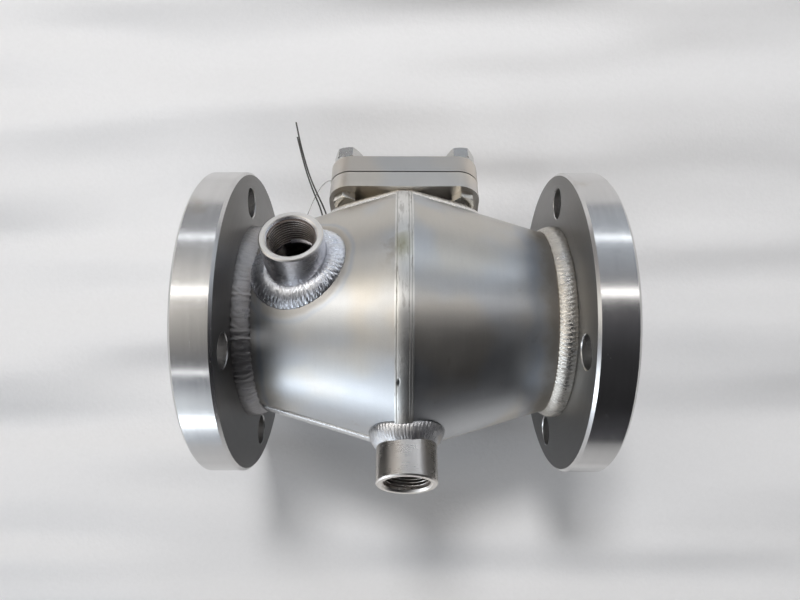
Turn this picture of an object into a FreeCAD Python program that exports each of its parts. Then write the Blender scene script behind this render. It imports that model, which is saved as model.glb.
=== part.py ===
import FreeCAD, Part
import math
import os

# Jacketed swing check valve, millimetres. The origin is the centre of the inlet raised face.
# +X runs with the flow, +Z points at the bonnet, and the heating port faces -Y.

os.makedirs("parts", exist_ok=True)

V = FreeCAD.Vector
X_AXIS = V(1, 0, 0)
Y_AXIS = V(0, 1, 0)
Z_AXIS = V(0, 0, 1)

# Line flanges: the 3 inch, class 150 pattern, as plain plates
face_to_face = 241.3
flange_diameter = 190.5
flange_plate_thickness = 22.3
raised_face_diameter = 127.0
raised_face_height = 1.6
bolt_circle_diameter = 152.4
bolt_hole_diameter = 19.05
bolt_hole_count = 4
flange_rim_chamfer = 1.6
bolt_hole_chamfer = 0.6

# Inner valve body, on 2 inch pipe
pipe_diameter = 60.3
pipe_wall = 3.9
pipe_set_back = 4.0
slip_on_clearance = 0.15
chamber_swing_room = 14.5
chamber_wall = 6.0
chamber_upstream_length = 34.0
chamber_downstream_room = 10.5
chamber_taper_length = 20.0
neck_swing_room = 5.5
neck_wall = 7.0

# Bonnet joint
bonnet_corner_radius = 14.5
bonnet_drop_below_girth = 10.0
bonnet_flange_thickness = 13.1
gasket_thickness = 1.0
gasket_inset = 1.0
cover_thickness = 15.2
cover_edge_chamfer = 0.8
bonnet_bolt_room = 13.4
bonnet_edge_distance = 11.5
bonnet_bolt_hole_radius = 5.5

# Bonnet fasteners: 3/8 inch bolts with heavy nuts, each turned as it was left by the spanner
bonnet_bolt_radius = 4.76
bonnet_bolt_head_across_flats = 14.3
bonnet_bolt_head_height = 6.1
bonnet_bolt_head_turn = 20.0
bonnet_bolt_stand_out = 3.0
bonnet_washer_radius = 9.5
bonnet_washer_thickness = 1.9
bonnet_washer_bore_clearance = 0.3
bonnet_nut_across_flats = 17.5
bonnet_nut_height = 9.3
bonnet_nut_turns = (-10.0, 23.0, 0.0, 41.0)
bonnet_nut_bore_clearance = 0.05
hex_corner_chamfer = 0.8

# Heating jacket, rolled from sheet
jacket_wall = 3.0
jacket_radius_at_flange = 55.3
jacket_radius_at_girth = 82.5
girth_band_width = 10.5
girth_band_stand_out = 1.7
girth_band_edge_stand_out = 1.0
jacket_hole_clearance = 0.15
contact_gap = 0.05
flange_weld_height = 6.2
flange_weld_length = 8.8
seam_width = 10.0
seam_stand_out = 1.6
seam_angle = 186.8
seam_end_gap = 1.5

# Saddle where the neck comes through the jacket
saddle_inset_along = 4.5
saddle_inset_across = 5.5
saddle_corner_radius = 16.0
saddle_thickness = 3.0
saddle_weld_leg = 4.6
saddle_weld_height = 4.2
saddle_weld_chamfer_share = 0.8
bolt_head_pocket_room = 1.3
bolt_head_pocket_drop = 0.6
bolt_head_clearance = 0.1

# Jacket ports: half couplings with a 3/4 inch parallel thread
port_outside_diameter = 35.0
port_thread_radius = 13.22
port_thread_depth = 20.0
port_waterway_radius = 12.0
port_mouth_chamfer = 1.2
port_rim_chamfer = 0.8
heating_port_station = 60.0
heating_port_drop = 3.5
heating_port_stand_out = 23.2
heating_port_weld_foot = 28.2
heating_port_weld_height = 4.5
heating_port_weld_chamfer = 4.0
drain_port_shift = 1.7
drain_port_stand_out = 25.7
drain_port_weld_foot = 20.8
drain_port_weld_top = 17.8
drain_port_weld_height = 8.0

# Tie wire, doubled round the inlet-side rear bolt, and a thin loose strand over the cover.
# Route points are measured from the valve's middle.
tie_wire_diameter = 1.1
tie_wire_route = [
    (-75.2, -50.5, 120.5),
    (-72.15, -42.0, 110.5),
    (-68.6, -33.2, 100.8),
    (-64.15, -24.5, 91.5),
    (-59.3, -17.0, 83.6),
    (-56.9, -1.0, 76.2),
    (-55.2, 16.0, 71.5),
    (-52.0, 33.0, 70.2),
    (-50.3, 46.0, 69.0),
    (-39.8, 52.1, 68.6),
    (-29.3, 46.0, 69.2),
    (-29.3, 33.8, 71.6),
    (-39.8, 27.5, 71.2),
    (-51.2, 24.3, 71.1),
    (-53.6, 11.5, 73.4),
    (-53.9, -2.5, 77.8),
    (-56.3, -15.2, 83.4),
    (-62.6, -24.6, 92.6),
    (-67.65, -33.0, 102.0),
    (-71.2, -41.7, 111.6),
    (-73.75, -48.2, 119.2),
    (-76.2, -56.2, 129.3),
]
loose_strand_diameter = 0.6
loose_strand_route = [
    (-71.0, -12.0, 75.8),
    (-68.6, -14.9, 80.8),
    (-66.0, -18.2, 87.4),
    (-61.7, -22.4, 96.1),
    (-58.5, -24.1, 100.4),
    (-54.2, -25.2, 103.9),
    (-48.8, -24.2, 103.9),
    (-43.2, -22.0, 102.5),
    (-37.4, -18.5, 102.15),
]
bend_share = 0.45

# Check mechanism
seat_station = -23.0
seat_tilt = 10.0
seat_overlap = 4.5
seat_ring_wall = 7.0
seat_ring_depth = 6.0
seat_ring_stand_out = 2.5
seat_land_width = 3.2
seat_land_height = 1.0
seat_press_clearance = 0.05
seat_face_gap = 0.1
disc_radius = 29.5
disc_thickness = 8.0
disc_edge_chamfer = 1.2
disc_boss_radius = 9.5
disc_boss_height = 3.0
disc_stud_radius = 5.0
disc_stud_overrun = 5.0
eye_play = 0.3
eye_running_clearance = 0.06
pin_above_disc = 8.5
pin_offset = 8.0
pin_radius = 4.0
pin_running_clearance = 0.06
pin_overrun = 3.0
arm_thickness = 10.0
arm_hub_radius = 7.0
arm_shoulder_drop = 3.0
arm_hub_length = 22.0
arm_shank_width = 16.0
arm_eye_radius = 11.5
washer_radius = 10.0
washer_thickness = 2.0
disc_nut_across_flats = 16.0
disc_nut_height = 8.0
lock_pin_radius = 1.0
lock_pin_length = 17.0
bracket_plate_play = 3.0
bracket_plate_thickness = 7.0
bracket_ear_thickness = 5.0
bracket_side_play = 0.4
bracket_foot_reach = 30.0
bracket_web_thickness = 6.0
stop_clearance = 0.5
open_angle = 70.0
clip_radius = 6.4
clip_thickness = 1.0
bracket_screw_count = 3
bracket_screw_edge_distance = 7.2
bracket_screw_radius = 3.0
bracket_screw_head_radius = 5.0
bracket_screw_head_height = 6.0
bracket_screw_grip = 9.0
bracket_screw_hole_clearance = 0.3

# Places worked out from the sizes above
mid_station = face_to_face / 2
flange_back = raised_face_height + flange_plate_thickness
pipe_bore_radius = pipe_diameter / 2 - pipe_wall
girth_half = girth_band_width / 2
cone_length = mid_station - girth_half - flange_back
cone_rise = jacket_radius_at_girth - jacket_radius_at_flange
cone_slope = math.atan2(cone_rise, cone_length)
port_station_rise = (heating_port_station - flange_back) * math.tan(cone_slope)
heating_port_surface = jacket_radius_at_flange + port_station_rise
heating_port_mouth = heating_port_surface + heating_port_stand_out
drain_port_mouth = jacket_radius_at_girth + drain_port_stand_out
chamber_inner_radius = disc_radius + chamber_swing_room
chamber_downstream_length = disc_radius + chamber_downstream_room
neck_bore_radius = disc_radius + neck_swing_room
neck_radius = neck_bore_radius + neck_wall
bonnet_bolt_spacing = (neck_radius + bonnet_bolt_room) * math.sqrt(2)
bonnet_width = bonnet_bolt_spacing + 2 * bonnet_edge_distance
saddle_length = bonnet_width - 2 * saddle_inset_along
saddle_width = bonnet_width - 2 * saddle_inset_across
bonnet_flange_underside = jacket_radius_at_girth - bonnet_drop_below_girth
saddle_weld_crown = jacket_radius_at_girth + saddle_weld_height / math.cos(cone_slope)
saddle_weld_meets_bonnet = math.sqrt(saddle_weld_crown**2 - bonnet_flange_underside**2)
saddle_weld_open_edge = saddle_width / 2 + saddle_weld_leg - saddle_weld_meets_bonnet
saddle_weld_chamfer = saddle_weld_chamfer_share * saddle_weld_open_edge
bonnet_joint = bonnet_flange_underside + bonnet_flange_thickness
cover_underside = bonnet_joint + gasket_thickness
cover_top = cover_underside + cover_thickness
seat_ring_bore_radius = disc_radius - seat_overlap
seat_ring_radius = seat_ring_bore_radius + seat_ring_wall
pin_height = disc_radius + pin_above_disc
bracket_plate_radius = neck_bore_radius - bracket_plate_play
bracket_screw_circle = bracket_plate_radius - bracket_screw_edge_distance
disc_face_offset = -pin_offset
disc_back_offset = disc_face_offset + disc_thickness
arm_front = disc_back_offset + disc_boss_height + eye_play
arm_back = arm_front + arm_thickness
washer_start = arm_back + eye_play
nut_start = washer_start + washer_thickness
nut_end = nut_start + disc_nut_height
stud_end = nut_end + disc_stud_overrun
seat_centre = V(mid_station + seat_station, 0, 0)
seat_turn = FreeCAD.Rotation(Y_AXIS, -seat_tilt)
pin_centre = seat_centre + seat_turn.multVec(V(pin_offset, 0, pin_height))


def revolve(points, origin=V(0, 0, 0), axis=X_AXIS):
    """Solid of revolution about an axis through origin, from a closed outline."""
    outline = Part.makePolygon(points + [points[0]])
    return Part.Face(outline).revolve(origin, axis, 360)


def turned(profile):
    """Solid turned about the X axis from (station, radius) pairs."""
    return revolve([V(station, 0, radius) for station, radius in profile])


def cylinder_x(radius, start, end):
    """Round bar along the X axis."""
    return Part.makeCylinder(radius, end - start, V(start, 0, 0), X_AXIS)


def mirrored(shape):
    """The same piece at the other end of the valve."""
    return shape.mirror(V(mid_station, 0, 0), X_AXIS)


def rounded_outline(length, width, corner, height):
    """Flat face at a height, a rectangle with round corners about the valve's middle."""
    half_x = length / 2
    half_y = width / 2
    edges = []
    for turn in range(4):
        swap = turn % 2
        along, across = (half_y, half_x) if swap else (half_x, half_y)
        spin = FreeCAD.Rotation(Z_AXIS, 90 * turn)
        start = V(along, -across + corner, 0)
        end = V(along, across - corner, 0)
        arc_centre = V(along - corner, across - corner, 0)
        arc_mid = arc_centre + V(corner, corner, 0) * math.sqrt(0.5)
        arc_end = V(along - corner, across, 0)
        place = V(mid_station, 0, height)
        start, end, arc_mid, arc_end = [
            spin.multVec(point) + place for point in (start, end, arc_mid, arc_end)
        ]
        edges.append(Part.LineSegment(start, end).toShape())
        edges.append(Part.Arc(end, arc_mid, arc_end).toShape())
    return Part.Face(Part.Wire(edges))


def rounded_block(length, width, corner, bottom, top):
    """Upright block with round corners about the valve's middle."""
    face = rounded_outline(length, width, corner, bottom)
    return face.extrude(V(0, 0, top - bottom))


def hexagon(across_flats, height, base, axis, turn=0.0):
    """Hexagonal bar with its corners turned off at both ends."""
    corner_radius = across_flats / math.sqrt(3)
    corners = []
    for index in range(6):
        angle = math.radians(60 * index + turn)
        corners.append(V(corner_radius * math.cos(angle), corner_radius * math.sin(angle), 0))
    bar = Part.Face(Part.makePolygon(corners + [corners[0]])).extrude(V(0, 0, height))
    flat_radius = corner_radius - hex_corner_chamfer
    drop = hex_corner_chamfer * math.tan(math.radians(30))
    envelope = revolve(
        [
            V(0, 0, 0),
            V(flat_radius, 0, 0),
            V(corner_radius, 0, drop),
            V(corner_radius, 0, height - drop),
            V(flat_radius, 0, height),
            V(0, 0, height),
        ],
        V(0, 0, 0),
        Z_AXIS,
    )
    bar = bar.common(envelope)
    bar.Placement = FreeCAD.Placement(base, FreeCAD.Rotation(Z_AXIS, axis))
    return bar


def seat_frame(shape):
    """Carries a shape drawn about the hinge pin into the valve, tilted with the seat."""
    shape.Placement = FreeCAD.Placement(pin_centre, seat_turn)
    return shape


def jacket_profile(offset):
    """Outside outline of the jacket, moved out by an offset, as (station, radius) pairs."""
    rise = offset / math.cos(cone_slope)
    return [
        (flange_back, jacket_radius_at_flange + rise),
        (mid_station - girth_half, jacket_radius_at_girth + rise),
        (mid_station + girth_half, jacket_radius_at_girth + rise),
        (face_to_face - flange_back, jacket_radius_at_flange + rise),
    ]


def jacket_envelope(offset):
    """Everything inside the jacket's outer surface, moved out by an offset."""
    profile = jacket_profile(offset)
    return turned([(profile[0][0], 0)] + profile + [(profile[-1][0], 0)])


def upright_bar(radius, top):
    """Round bar up the bonnet axis from the pipe's centre line."""
    return Part.makeCylinder(radius, top, V(mid_station, 0, 0), Z_AXIS)


def port_bar(port, radius, start, end):
    """Round bar along a port's axis, between two distances from the pipe's centre line."""
    centre, direction = port
    return Part.makeCylinder(radius, end - start, centre + direction * start, direction)


HEATING_PORT = (V(heating_port_station, 0, -heating_port_drop), V(0, -1, 0))
DRAIN_PORT = (V(mid_station + drain_port_shift, 0, 0), V(0, 0, -1))


def port_hole(port, clearance):
    """Room for a coupling's outside."""
    return port_bar(port, port_outside_diameter / 2 + clearance, 0, drain_port_mouth)


def jacket_cut_outs(clearance):
    """What comes through or near the jacket wall: the neck, the two ports and the bonnet joint."""
    cut = upright_bar(neck_radius + clearance, cover_top)
    cut = cut.fuse(port_hole(HEATING_PORT, clearance))
    cut = cut.fuse(port_hole(DRAIN_PORT, clearance))
    return cut.fuse(bonnet_joint_space())


def bonnet_joint_space():
    """Room for the body's bonnet flange and the bolt heads under it."""
    head_corner = bonnet_bolt_head_across_flats / math.sqrt(3)
    underside = bonnet_flange_underside - contact_gap
    space = rounded_block(
        bonnet_width, bonnet_width, bonnet_corner_radius, underside, cover_top
    )
    bottom = bonnet_flange_underside - bonnet_bolt_head_height - bolt_head_clearance
    for place in bonnet_bolt_places():
        bar = Part.makeCylinder(
            head_corner + bolt_head_clearance, underside - bottom, place + V(0, 0, bottom), Z_AXIS
        )
        space = space.fuse(bar)
    return space


def inlet_flange():
    """Plate flange with a raised face, bored for the pipe."""
    rim = flange_diameter / 2
    chamfer = flange_rim_chamfer
    plate_front = raised_face_height
    bore = pipe_diameter / 2 + slip_on_clearance
    plate = turned(
        [
            (0, bore),
            (0, raised_face_diameter / 2 - raised_face_height / 2),
            (plate_front, raised_face_diameter / 2),
            (plate_front, rim - chamfer),
            (plate_front + chamfer, rim),
            (flange_back - chamfer, rim),
            (flange_back, rim - chamfer),
            (flange_back, bore),
        ]
    )
    hole_radius = bolt_hole_diameter / 2
    for index in range(bolt_hole_count):
        angle = math.radians(360 / bolt_hole_count * (index + 0.5))
        centre = V(0, math.sin(angle), math.cos(angle)) * (bolt_circle_diameter / 2)
        plate = plate.cut(Part.makeCylinder(hole_radius, flange_back, centre, X_AXIS))
        for start, mouth_radius, end_radius in (
            (plate_front, hole_radius + bolt_hole_chamfer, hole_radius),
            (flange_back - bolt_hole_chamfer, hole_radius, hole_radius + bolt_hole_chamfer),
        ):
            mouth = centre + V(start, 0, 0)
            plate = plate.cut(
                Part.makeCone(mouth_radius, end_radius, bolt_hole_chamfer, mouth, X_AXIS)
            )
    return plate


def inlet_pipe_weld():
    """Fillet between the pipe's set-back end and the flange bore."""
    end = pipe_set_back - contact_gap
    inner = pipe_bore_radius + pipe_wall / 4
    outer = pipe_diameter / 2 + slip_on_clearance - contact_gap
    return turned([(end, inner), (end, outer), (contact_gap, outer)])


def inlet_cone():
    """Rolled cone from the inlet flange to the girth band."""
    start, end = jacket_profile(0)[:2]
    drop = jacket_wall / math.cos(cone_slope)
    shell = turned([start, end, (end[0], end[1] - drop), (start[0], start[1] - drop)])
    return shell


def girth_ring(inner, growth):
    """Crowned ring over the joint of the two cones, from an inner radius, grown outwards."""
    edge = jacket_radius_at_girth + girth_band_edge_stand_out + growth
    crown = jacket_radius_at_girth + girth_band_stand_out + growth
    left = mid_station - girth_half - growth
    right = mid_station + girth_half + growth
    crown_arc = Part.Arc(V(left, 0, edge), V(mid_station, 0, crown), V(right, 0, edge))
    sides = Part.makePolygon(
        [V(right, 0, edge), V(right, 0, inner), V(left, 0, inner), V(left, 0, edge)]
    )
    outline = Part.Wire([crown_arc.toShape()] + sides.Edges)
    return Part.Face(outline).revolve(V(0, 0, 0), X_AXIS, 360)


def girth_band():
    """Front and rear halves of the ring between the cones, parted by neck and drain."""
    ring = girth_ring(jacket_radius_at_girth - jacket_wall / math.cos(cone_slope), 0)
    above = saddle_block(contact_gap).cut(
        cylinder_x(jacket_radius_at_girth, 0, face_to_face)
    )
    ring = ring.cut(above).cut(jacket_cut_outs(jacket_hole_clearance))
    return sorted(ring.Solids, key=lambda half: half.CenterOfMass.y)


def saddle_block(growth):
    """Upright block over the saddle's outline, grown all round."""
    return rounded_block(
        saddle_length + 2 * growth,
        saddle_width + 2 * growth,
        saddle_corner_radius + growth,
        0,
        bonnet_flange_underside - contact_gap,
    )


def bolt_head_pockets():
    """Round pockets that leave the bonnet bolts' heads free."""
    bottom = bonnet_flange_underside - bonnet_bolt_head_height - bolt_head_pocket_drop
    radius = bonnet_bolt_head_across_flats / math.sqrt(3) + bolt_head_pocket_room
    bars = [
        Part.makeCylinder(radius, cover_top - bottom, place + V(0, 0, bottom), Z_AXIS)
        for place in bonnet_bolt_places()
    ]
    return Part.makeCompound(bars)


def saddle():
    """Doubler plate that follows the jacket round the neck, flush under the bonnet flange."""
    plate = jacket_envelope(saddle_thickness).common(saddle_block(0))
    plate = plate.cut(jacket_envelope(contact_gap))
    plate = plate.cut(bolt_head_pockets())
    return plate.cut(upright_bar(neck_radius + jacket_hole_clearance, cover_top))


def saddle_weld():
    """Fillet weld round the saddle's edge, with its outer corner taken down."""
    blank = jacket_envelope(saddle_weld_height).common(saddle_block(saddle_weld_leg))
    underside = bonnet_flange_underside - 2 * contact_gap
    outer_corner = [
        edge
        for wall in blank.Faces
        if wall.BoundBox.ZMin < contact_gap
        for edge in wall.Edges
        if contact_gap < edge.BoundBox.ZMin < underside
    ]
    ring = blank.makeChamfer(saddle_weld_chamfer, outer_corner)
    ring = ring.cut(jacket_envelope(contact_gap))
    ring = ring.cut(girth_ring(0, contact_gap)).cut(bolt_head_pockets())
    return ring.cut(saddle_block(contact_gap))


def flange_weld():
    """Fillet weld between the inlet flange's back face and the cone, slightly bulged."""
    rise = math.tan(cone_slope)
    foot = flange_back + contact_gap
    low = jacket_radius_at_flange + contact_gap / math.cos(cone_slope)
    corner = V(foot, 0, low)
    top = V(foot, 0, jacket_radius_at_flange + flange_weld_height)
    toe_radius = low + flange_weld_length * rise
    toe = V(foot + flange_weld_length, 0, toe_radius)
    middle = (top + toe) * 0.5
    bulge = V(toe.z - top.z, 0, top.x - toe.x)
    bulge.normalize()
    crest = middle - bulge * (flange_weld_height / 10)
    outline = Part.Wire(
        [
            Part.Arc(top, crest, toe).toShape(),
            Part.LineSegment(toe, corner).toShape(),
            Part.LineSegment(corner, top).toShape(),
        ]
    )
    return Part.Face(outline).revolve(V(0, 0, 0), X_AXIS, 360)


def seam_weld():
    """Raised weld along the inlet cone's joint, straight from the flange weld to the band."""
    along = V(math.cos(cone_slope), 0, math.sin(cone_slope))
    outward = V(-math.sin(cone_slope), 0, math.cos(cone_slope))
    first = flange_weld_length + seam_end_gap
    length = cone_length / math.cos(cone_slope) - first - seam_end_gap
    root = V(flange_back, 0, jacket_radius_at_flange) + along * first
    side = Y_AXIS * (seam_width / 2)
    sunk = outward * (-seam_stand_out)
    arc = Part.Arc(root - side, root + outward * seam_stand_out, root + side)
    base = Part.makePolygon([root + side, root + side + sunk, root - side + sunk, root - side])
    bead = Part.Face(Part.Wire([arc.toShape()] + base.Edges)).extrude(along * length)
    bead.rotate(V(0, 0, 0), X_AXIS, seam_angle)
    drain_reach = drain_port_weld_foot + 2 * seam_end_gap
    near_drain = port_bar(DRAIN_PORT, drain_reach, 0, drain_port_mouth)
    return bead.cut(jacket_envelope(contact_gap)).cut(near_drain)


def port_coupling(port, mouth):
    """Half coupling: threaded at its mouth, a plain waterway behind, flush inside the jacket."""
    outer = port_outside_diameter / 2
    thread_end = mouth - port_thread_depth
    centre, direction = port
    rim = Part.makeCone(
        outer,
        outer - port_rim_chamfer,
        port_rim_chamfer,
        centre + direction * (mouth - port_rim_chamfer),
        direction,
    )
    blank = port_bar(port, outer, 0, mouth - port_rim_chamfer).fuse(rim)
    blank = blank.cut(port_bar(port, port_thread_radius, thread_end, mouth))
    blank = blank.cut(port_bar(port, port_waterway_radius, 0, thread_end))
    countersink = Part.makeCone(
        port_thread_radius,
        port_thread_radius + port_mouth_chamfer,
        port_mouth_chamfer,
        centre + direction * (mouth - port_mouth_chamfer),
        direction,
    )
    blank = blank.cut(countersink)
    return blank.cut(jacket_envelope(-jacket_wall))


def heating_port_weld():
    """Wide collar of weld that follows the cone, level with the pipe's centre."""
    foot = heating_port_weld_foot
    height = heating_port_weld_height
    base = V(heating_port_station, -heating_port_surface, 0)
    normal = V(-math.sin(cone_slope), -math.cos(cone_slope), 0)
    blank = Part.makeCylinder(foot, foot, base - normal * (foot / 2), normal)
    blank = blank.common(jacket_envelope(height))
    outer_corner = [
        edge
        for edge in blank.Edges
        if min((vertex.Point - base).dot(normal) for vertex in edge.Vertexes) > -height
    ]
    collar = blank.makeChamfer(heating_port_weld_chamfer, outer_corner)
    collar = collar.cut(jacket_envelope(contact_gap))
    return collar.cut(port_hole(HEATING_PORT, contact_gap))


def drain_port_weld():
    """Steep collar of weld round the drain port, over the girth band."""
    foot = drain_port_weld_foot
    top = drain_port_weld_top
    height = drain_port_weld_height
    centre, direction = DRAIN_PORT
    depth = foot / 2
    spread = (foot - top) / height * depth
    base = centre + direction * (jacket_radius_at_girth - depth)
    collar = Part.makeCone(foot + spread, top, height + depth, base, direction)
    collar = collar.cut(jacket_envelope(contact_gap)).cut(girth_ring(0, contact_gap))
    return collar.cut(port_hole(DRAIN_PORT, contact_gap))


def valve_body():
    """Pipe ends, valve chamber, neck and square bonnet flange in one casting."""
    pipe_radius = pipe_diameter / 2
    chamber_radius = chamber_inner_radius + chamber_wall
    upstream = mid_station - chamber_upstream_length
    downstream = mid_station + chamber_downstream_length
    taper = chamber_taper_length
    outside = turned(
        [
            (pipe_set_back, 0),
            (pipe_set_back, pipe_radius),
            (upstream - taper, pipe_radius),
            (upstream, chamber_radius),
            (downstream, chamber_radius),
            (downstream + taper, pipe_radius),
            (face_to_face - pipe_set_back, pipe_radius),
            (face_to_face - pipe_set_back, 0),
        ]
    )
    outside = outside.fuse(upright_bar(neck_radius, bonnet_flange_underside))
    top_plate = rounded_block(
        bonnet_width,
        bonnet_width,
        bonnet_corner_radius,
        bonnet_flange_underside,
        bonnet_joint,
    )
    outside = outside.fuse(top_plate.cut(bonnet_bolt_holes(bonnet_flange_underside, bonnet_joint)))
    return outside.cut(body_waterway())


def body_waterway():
    """Hollow of the valve body: both bores, the chamber with its tilted wall, and the neck."""
    inlet = cylinder_x(pipe_bore_radius, 0, seat_centre.x)
    chamber = turned(
        [
            (mid_station - chamber_upstream_length - chamber_taper_length, 0),
            (mid_station - chamber_upstream_length - chamber_taper_length, chamber_inner_radius),
            (mid_station + chamber_downstream_length, chamber_inner_radius),
            (mid_station + chamber_downstream_length + chamber_taper_length, pipe_bore_radius),
            (face_to_face, pipe_bore_radius),
            (face_to_face, 0),
        ]
    )
    chamber = chamber.fuse(upright_bar(neck_bore_radius, bonnet_joint))
    wall_offset = disc_face_offset - seat_face_gap - seat_ring_stand_out
    reach = face_to_face
    keep = Part.makeBox(reach, reach, reach, V(wall_offset, -reach / 2, -reach / 2))
    chamber = chamber.common(seat_frame(keep))
    back = disc_face_offset - seat_face_gap - seat_ring_depth - contact_gap
    pocket = Part.makeCylinder(
        seat_ring_radius + seat_press_clearance,
        seat_ring_depth,
        V(back, 0, -pin_height),
        X_AXIS,
    )
    return inlet.fuse(chamber).fuse(seat_frame(pocket))


def bonnet_bolt_places():
    """Centres of the bonnet bolts, seen from above."""
    half = bonnet_bolt_spacing / 2
    return [V(mid_station + x * half, y * half, 0) for x in (-1, 1) for y in (-1, 1)]


def bonnet_bolt_holes(bottom, top):
    """Clearance holes for the bonnet bolts through a plate."""
    bars = [
        Part.makeCylinder(bonnet_bolt_hole_radius, top - bottom, place + V(0, 0, bottom), Z_AXIS)
        for place in bonnet_bolt_places()
    ]
    return Part.makeCompound(bars)


def bonnet_gasket():
    """Flat gasket, a little inside the two plates, open at the neck."""
    width = bonnet_width - 2 * gasket_inset
    bottom = bonnet_joint
    sheet = rounded_block(width, width, bonnet_corner_radius - gasket_inset, bottom, cover_underside)
    sheet = sheet.cut(bonnet_bolt_holes(bottom, cover_underside))
    return sheet.cut(upright_bar(neck_bore_radius, cover_underside))


def bracket_screw_places():
    """Centres of the bracket's screws, seen from above, the first one downstream."""
    places = []
    for index in range(bracket_screw_count):
        angle = math.radians(360 / bracket_screw_count * index)
        offset = V(math.cos(angle), math.sin(angle), 0) * bracket_screw_circle
        places.append(V(mid_station, 0, 0) + offset)
    return places


def bonnet_cover():
    """Square cover plate with blind holes underneath for the hinge bracket."""
    plate = rounded_block(
        bonnet_width, bonnet_width, bonnet_corner_radius, cover_underside, cover_top
    )
    top_edges = [
        edge
        for edge in plate.Edges
        if min(vertex.Z for vertex in edge.Vertexes) > cover_top - contact_gap
    ]
    plate = plate.makeChamfer(cover_edge_chamfer, top_edges)
    plate = plate.cut(bonnet_bolt_holes(cover_underside, cover_top))
    for place in bracket_screw_places():
        hole = Part.makeCylinder(
            bracket_screw_radius + contact_gap,
            bracket_screw_grip + 1,
            place + V(0, 0, cover_underside),
            Z_AXIS,
        )
        plate = plate.cut(hole)
    return plate


def bonnet_bolts():
    """Hexagon bolts, heads under the body flange, one solid each."""
    bolts = []
    underside = V(0, 0, bonnet_flange_underside)
    length = bonnet_nut_top() + bonnet_bolt_stand_out - bonnet_flange_underside
    for place in bonnet_bolt_places():
        head = hexagon(
            bonnet_bolt_head_across_flats,
            bonnet_bolt_head_height,
            place + underside - V(0, 0, bonnet_bolt_head_height),
            Z_AXIS,
            bonnet_bolt_head_turn,
        )
        shank = Part.makeCylinder(bonnet_bolt_radius, length, place + underside, Z_AXIS)
        shank = shank.makeChamfer(1.0, [shank.Edges[0]])
        bolts.append(head.fuse(shank).removeSplitter())
    return Part.makeCompound(bolts)


def bonnet_nut_top():
    """Height of the nuts' upper faces."""
    return cover_top + bonnet_washer_thickness + bonnet_nut_height


def bonnet_washers():
    """Plain washers between the cover and the nuts, one solid each."""
    washers = []
    bore_radius = bonnet_bolt_radius + bonnet_washer_bore_clearance
    for place in bonnet_bolt_places():
        base = place + V(0, 0, cover_top)
        ring = Part.makeCylinder(bonnet_washer_radius, bonnet_washer_thickness, base, Z_AXIS)
        bore = Part.makeCylinder(bore_radius, bonnet_washer_thickness, base, Z_AXIS)
        washers.append(ring.cut(bore))
    return Part.makeCompound(washers)


def bonnet_nuts():
    """Nuts on the washers, one solid each."""
    nuts = []
    bore_radius = bonnet_bolt_radius + bonnet_nut_bore_clearance
    for place, turn in zip(bonnet_bolt_places(), bonnet_nut_turns):
        base = place + V(0, 0, bonnet_nut_top() - bonnet_nut_height)
        nut = hexagon(bonnet_nut_across_flats, bonnet_nut_height, base, Z_AXIS, turn)
        nuts.append(nut.cut(Part.makeCylinder(bore_radius, bonnet_nut_height, base, Z_AXIS)))
    return Part.makeCompound(nuts)


def seat_ring():
    """Ring pressed into the chamber's wall, with a narrow raised land for the disc."""
    face = disc_face_offset - seat_face_gap
    back = face - seat_ring_depth
    shoulder = face - seat_land_height
    land_outer = seat_ring_bore_radius + seat_land_width
    ring = [
        (back, seat_ring_bore_radius),
        (back, seat_ring_radius),
        (shoulder, seat_ring_radius),
        (shoulder, land_outer),
        (face, land_outer),
        (face, seat_ring_bore_radius),
    ]
    shape = revolve(
        [V(x, 0, -pin_height + r) for x, r in ring], V(0, 0, -pin_height), X_AXIS
    )
    return seat_frame(shape)


def disc():
    """Disc with its hub and stud in one turned piece, drilled for the lock pin."""
    chamfer = disc_edge_chamfer
    profile = [
        (disc_face_offset, 0),
        (disc_face_offset, disc_radius - chamfer),
        (disc_face_offset + chamfer, disc_radius),
        (disc_back_offset - chamfer, disc_radius),
        (disc_back_offset, disc_radius - chamfer),
        (disc_back_offset, disc_boss_radius),
        (disc_back_offset + disc_boss_height, disc_boss_radius),
        (disc_back_offset + disc_boss_height, disc_stud_radius),
        (stud_end - chamfer, disc_stud_radius),
        (stud_end, disc_stud_radius - chamfer),
        (stud_end, 0),
    ]
    shape = revolve(
        [V(x, 0, -pin_height + r) for x, r in profile], V(0, 0, -pin_height), X_AXIS
    )
    return seat_frame(shape.cut(lock_pin_bar(lock_pin_radius + contact_gap)))


def lock_pin_bar(radius):
    """Round bar across the stud, just past the nut."""
    station = nut_end + disc_stud_overrun / 2
    start = V(station, -lock_pin_length / 2, -pin_height)
    return Part.makeCylinder(radius, lock_pin_length, start, Y_AXIS)


def disc_lock_pin():
    """Pin through the stud that keeps the nut on."""
    return seat_frame(lock_pin_bar(lock_pin_radius))


def disc_washer():
    """Washer between the arm's eye and the nut."""
    centre = V(washer_start, 0, -pin_height)
    ring = Part.makeCylinder(washer_radius, washer_thickness, centre, X_AXIS)
    bore = Part.makeCylinder(disc_stud_radius + contact_gap, washer_thickness, centre, X_AXIS)
    return seat_frame(ring.cut(bore))


def disc_nut():
    """Nut on the disc's stud."""
    start = V(nut_start, 0, -pin_height)
    nut = hexagon(disc_nut_across_flats, disc_nut_height, start, X_AXIS)
    bore = Part.makeCylinder(disc_stud_radius + contact_gap, disc_nut_height, start, X_AXIS)
    return seat_frame(nut.cut(bore))


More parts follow.
